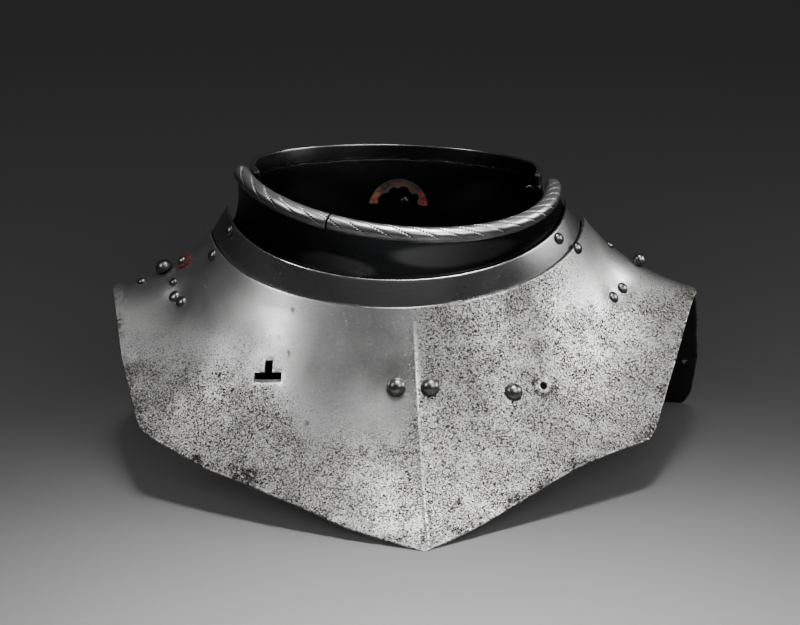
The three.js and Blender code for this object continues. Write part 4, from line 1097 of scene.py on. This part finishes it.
def torn_disc(seat, radius, thickness):
    """A ragged disc of leather with a curled rim, on a seat."""
    centre, outward = seat
    side = np.cross(outward, [0.0, 1.0, 0.0])
    side /= np.linalg.norm(side)
    other = np.cross(outward, side)
    steps, rings = 56, 8
    turns = np.linspace(0, 2 * math.pi, steps, endpoint=False)
    jitter = np.random.default_rng(91).uniform(0.86, 1.08, steps)
    torn = radius * jitter * (1 + 0.22 * np.cos(turns - 3.4) + 0.08 * np.sin(3 * turns))
    shares = np.linspace(0.25, 1.0, rings)
    top, foot = [], []
    for share in shares:
        for t, reach in zip(turns, torn):
            flat = centre + (side * math.cos(t) + other * math.sin(t)) * reach * share
            curl = 0.55 * share ** 3 * math.sin(2 * t + 0.6)
            top.append(flat + outward * (0.35 + thickness + max(curl, -0.2)))
            foot.append(flat + outward * (0.35 + max(curl, -0.2)))
    count = steps * rings
    index = np.arange(count).reshape(rings, steps)
    beside = np.roll(index, -1, axis=1)
    face = np.stack([index[:-1], index[1:], beside[1:], beside[:-1]], -1).reshape(-1, 4)
    wall_out = np.stack([index[-1], index[-1] + count, beside[-1] + count, beside[-1]], -1)
    wall_in = np.stack([index[0], beside[0], beside[0] + count, index[0] + count], -1)
    return np.array(top + foot), np.concatenate([face, face[:, ::-1] + count, wall_out, wall_in]).tolist()


scrap_points, scrap_quads = torn_disc((scrap_centre, scrap_outward), 4.2, 1.0)
leather_piece("leather_scrap_red", scrap_points, scrap_quads, red_leather.material,
              "front", "leather_scrap", {})

LINING_RIVET_TURN = 175.0
LINING_TURN = 177.5
LINING_RIVET_HEIGHT = 114.0
LINING_HALF_WIDTH = 14.0
LINING_RISE = 12.5
LINING_BAND = 4.5
ARCH_START = -90
ARCH_END = 98
collar_top = back_collar_face(np.array(180.0), np.array(0.0))[2]
collar_foot = back_collar_face(np.array(180.0), np.array(1.0))[2]


def collar_share(height):
    return (collar_top - height) / (collar_top - collar_foot)


arch_turns = np.linspace(ARCH_START, ARCH_END, 120)
arch_shares = np.linspace(0, 1, 14)
arch_turn, arch_share = np.meshgrid(arch_turns, arch_shares, indexing="ij")
arch_spot = np.stack([arch_turn * 0.4, arch_share * 6, 0 * arch_turn], -1)
ragged = 1 + 0.34 * lumps(arch_spot, 5.0, 95) + 0.07 * lumps(arch_spot, 1.5, 97)
shrink = LINING_BAND * (1 - arch_share) * ragged
arch_across = (LINING_HALF_WIDTH - shrink) * np.sin(np.radians(arch_turn))
arch_height = LINING_RIVET_HEIGHT + (LINING_RISE - shrink) * np.cos(np.radians(arch_turn))
arch_at = LINING_TURN - np.degrees(arch_across / 72.0)
arch_point, arch_out = face_seat(back_collar_face, arch_at, collar_share(arch_height))
crumple = 0.55 * lumps(arch_point, 2.4, 96) + 0.5 * np.sin(arch_share * math.pi)
near_rows, near_columns = arch_turn.shape
wall_side = arch_point - arch_out * (SHEET + 0.25)
room_side = arch_point - arch_out * (SHEET + 1.3 + crumple)[..., None]
arch_points = np.concatenate([room_side.reshape(-1, 3), wall_side.reshape(-1, 3)])
index = np.arange(near_rows * near_columns).reshape(near_rows, near_columns)
face = np.stack([index[:-1, :-1], index[:-1, 1:], index[1:, 1:], index[1:, :-1]], -1).reshape(-1, 4)
loop = np.concatenate([index[0, :-1], index[:-1, -1], index[-1, :0:-1], index[:0:-1, 0]])
following = np.roll(loop, -1)
total = near_rows * near_columns
arch_quads = np.concatenate([
    face, face[:, ::-1] + total, np.stack([following, loop, loop + total, following + total], -1),
]).tolist()
lining = Finish("old_lining")
lining_spot = lining.place()
lining_grain = lining.noise(lining_spot, 0.9, 5.0, 0.7)
lining_along = lining.grade("along")
lining_across = lining.grade("across")
lining_red = lining_across.between(0.30, 0.42) * (1.0 - lining_across.between(0.62, 0.74))
lining_red = lining_red * lining_along.between(0.28, 0.36)
lining_tip = 1.0 - lining_along.between(0.14, 0.26)
lining_end = lining_along.between(0.76, 0.84) * lining_across.between(0.2, 0.3)
lining_colour = lining.blend(
    lining_across.between(0.3, 0.5), (0.12, 0.115, 0.11, 1.0), (0.02, 0.016, 0.014, 1.0),
)
lining_red_share = (lining_red * lining_grain.between(0.3, 0.5)).clipped()
lining_colour = lining.blend(lining_red_share, lining_colour, (0.22, 0.035, 0.02, 1.0))
lining_end_share = (lining_end * lining_grain.between(0.4, 0.55)).clipped()
lining_colour = lining.blend(lining_end_share, lining_colour, (0.50, 0.05, 0.035, 1.0))
lining_tip_share = (lining_tip * lining_grain.between(0.38, 0.55)).clipped()
lining_colour = lining.blend(lining_tip_share, lining_colour, (0.60, 0.20, 0.09, 1.0))
lining.set(base_color=lining_colour, roughness=0.85)
lining.relief(lining_grain, 0.0005, 0.8)
arch_along = (arch_turn - ARCH_START) / (ARCH_END - ARCH_START)
leather_piece("lining_scrap_leather", arch_points, arch_quads, lining.material,
              "back_collar", "lining_scrap",
              {"along": np.tile(arch_along.reshape(-1), 2), "across": np.tile(arch_share.reshape(-1), 2)})
lining_seat = face_seat(
    back_collar_face, np.array(LINING_RIVET_TURN), np.array(collar_share(LINING_RIVET_HEIGHT)), SHEET,
)
rivet_piece("lining_rivet_head", RIVET_HEAD, (lining_seat[0], -lining_seat[1]), 0.2,
            "back_collar", "lining_rivet", material=inner_shaded_steel)


# Pin in the collar
# A thin iron pin, pushed through near the right end of the back collar and bent over.
HOOK_TURN = 93.0
HOOK_SHARE = 0.4
HOOK_LENGTH = 5.5
HOOK_RADIUS = 0.6
HOOK_STEPS = 41
HOOK_SIDES = 14
HOOK_BEND = [(0.0, 0.0), (0.35, 0.25), (0.6, 0.6), (0.85, 0.72), (1.1, 0.6)]
collar_height = HEM_RING["side_z"] - back_collar_face(np.array(HOOK_TURN), np.array(1.0))[2]
hook_stops = np.array([
    face_seat(
        back_collar_face, np.array(HOOK_TURN), np.array(HOOK_SHARE - rise * HOOK_LENGTH / collar_height),
        SHEET + 0.1 + HOOK_RADIUS + inward * HOOK_LENGTH,
    )[0]
    for inward, rise in HOOK_BEND
])
hook_share = np.linspace(0, len(hook_stops) - 1, HOOK_STEPS)
hook_line = np.stack([
    np.interp(hook_share, range(len(hook_stops)), hook_stops[:, axis]) for axis in range(3)
], -1)
for _ in range(6):
    hook_line[1:-1] = (hook_line[:-2] + 2 * hook_line[1:-1] + hook_line[2:]) / 4
hook_ahead = np.gradient(hook_line, axis=0)
hook_ahead /= np.linalg.norm(hook_ahead, axis=-1, keepdims=True)
hook_side = np.cross(hook_ahead, [0.0, 1.0, 0.2])
hook_side /= np.linalg.norm(hook_side, axis=-1, keepdims=True)
hook_other = np.cross(hook_ahead, hook_side)
hook_turns = np.linspace(0, 2 * math.pi, HOOK_SIDES, endpoint=False)
hook_radius = HOOK_RADIUS * np.clip(1.05 - 0.35 * np.linspace(0, 1, HOOK_STEPS) ** 3, 0, 1)
hook_wave = np.cos(hook_turns)[None, :, None] * hook_side[:, None]
hook_wave = hook_wave + np.sin(hook_turns)[None, :, None] * hook_other[:, None]
hook_rings = hook_line[:, None] + hook_radius[:, None, None] * hook_wave
index = np.arange(HOOK_STEPS * HOOK_SIDES).reshape(HOOK_STEPS, HOOK_SIDES)
beside = np.roll(index, -1, axis=1)
hook_quads = np.stack([index[:-1], beside[:-1], beside[1:], index[1:]], -1).reshape(-1, 4).tolist()
hook_quads += [index[0].tolist(), index[-1][::-1].tolist()]
hook = steel_piece("collar_hook_pin", hook_rings.reshape(-1, 3), hook_quads, {
    "crown": np.ones(HOOK_STEPS * HOOK_SIDES),
})
hook.data.materials.append(stud_finish.material)
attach(hook, "back_collar")
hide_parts("collar_hook")
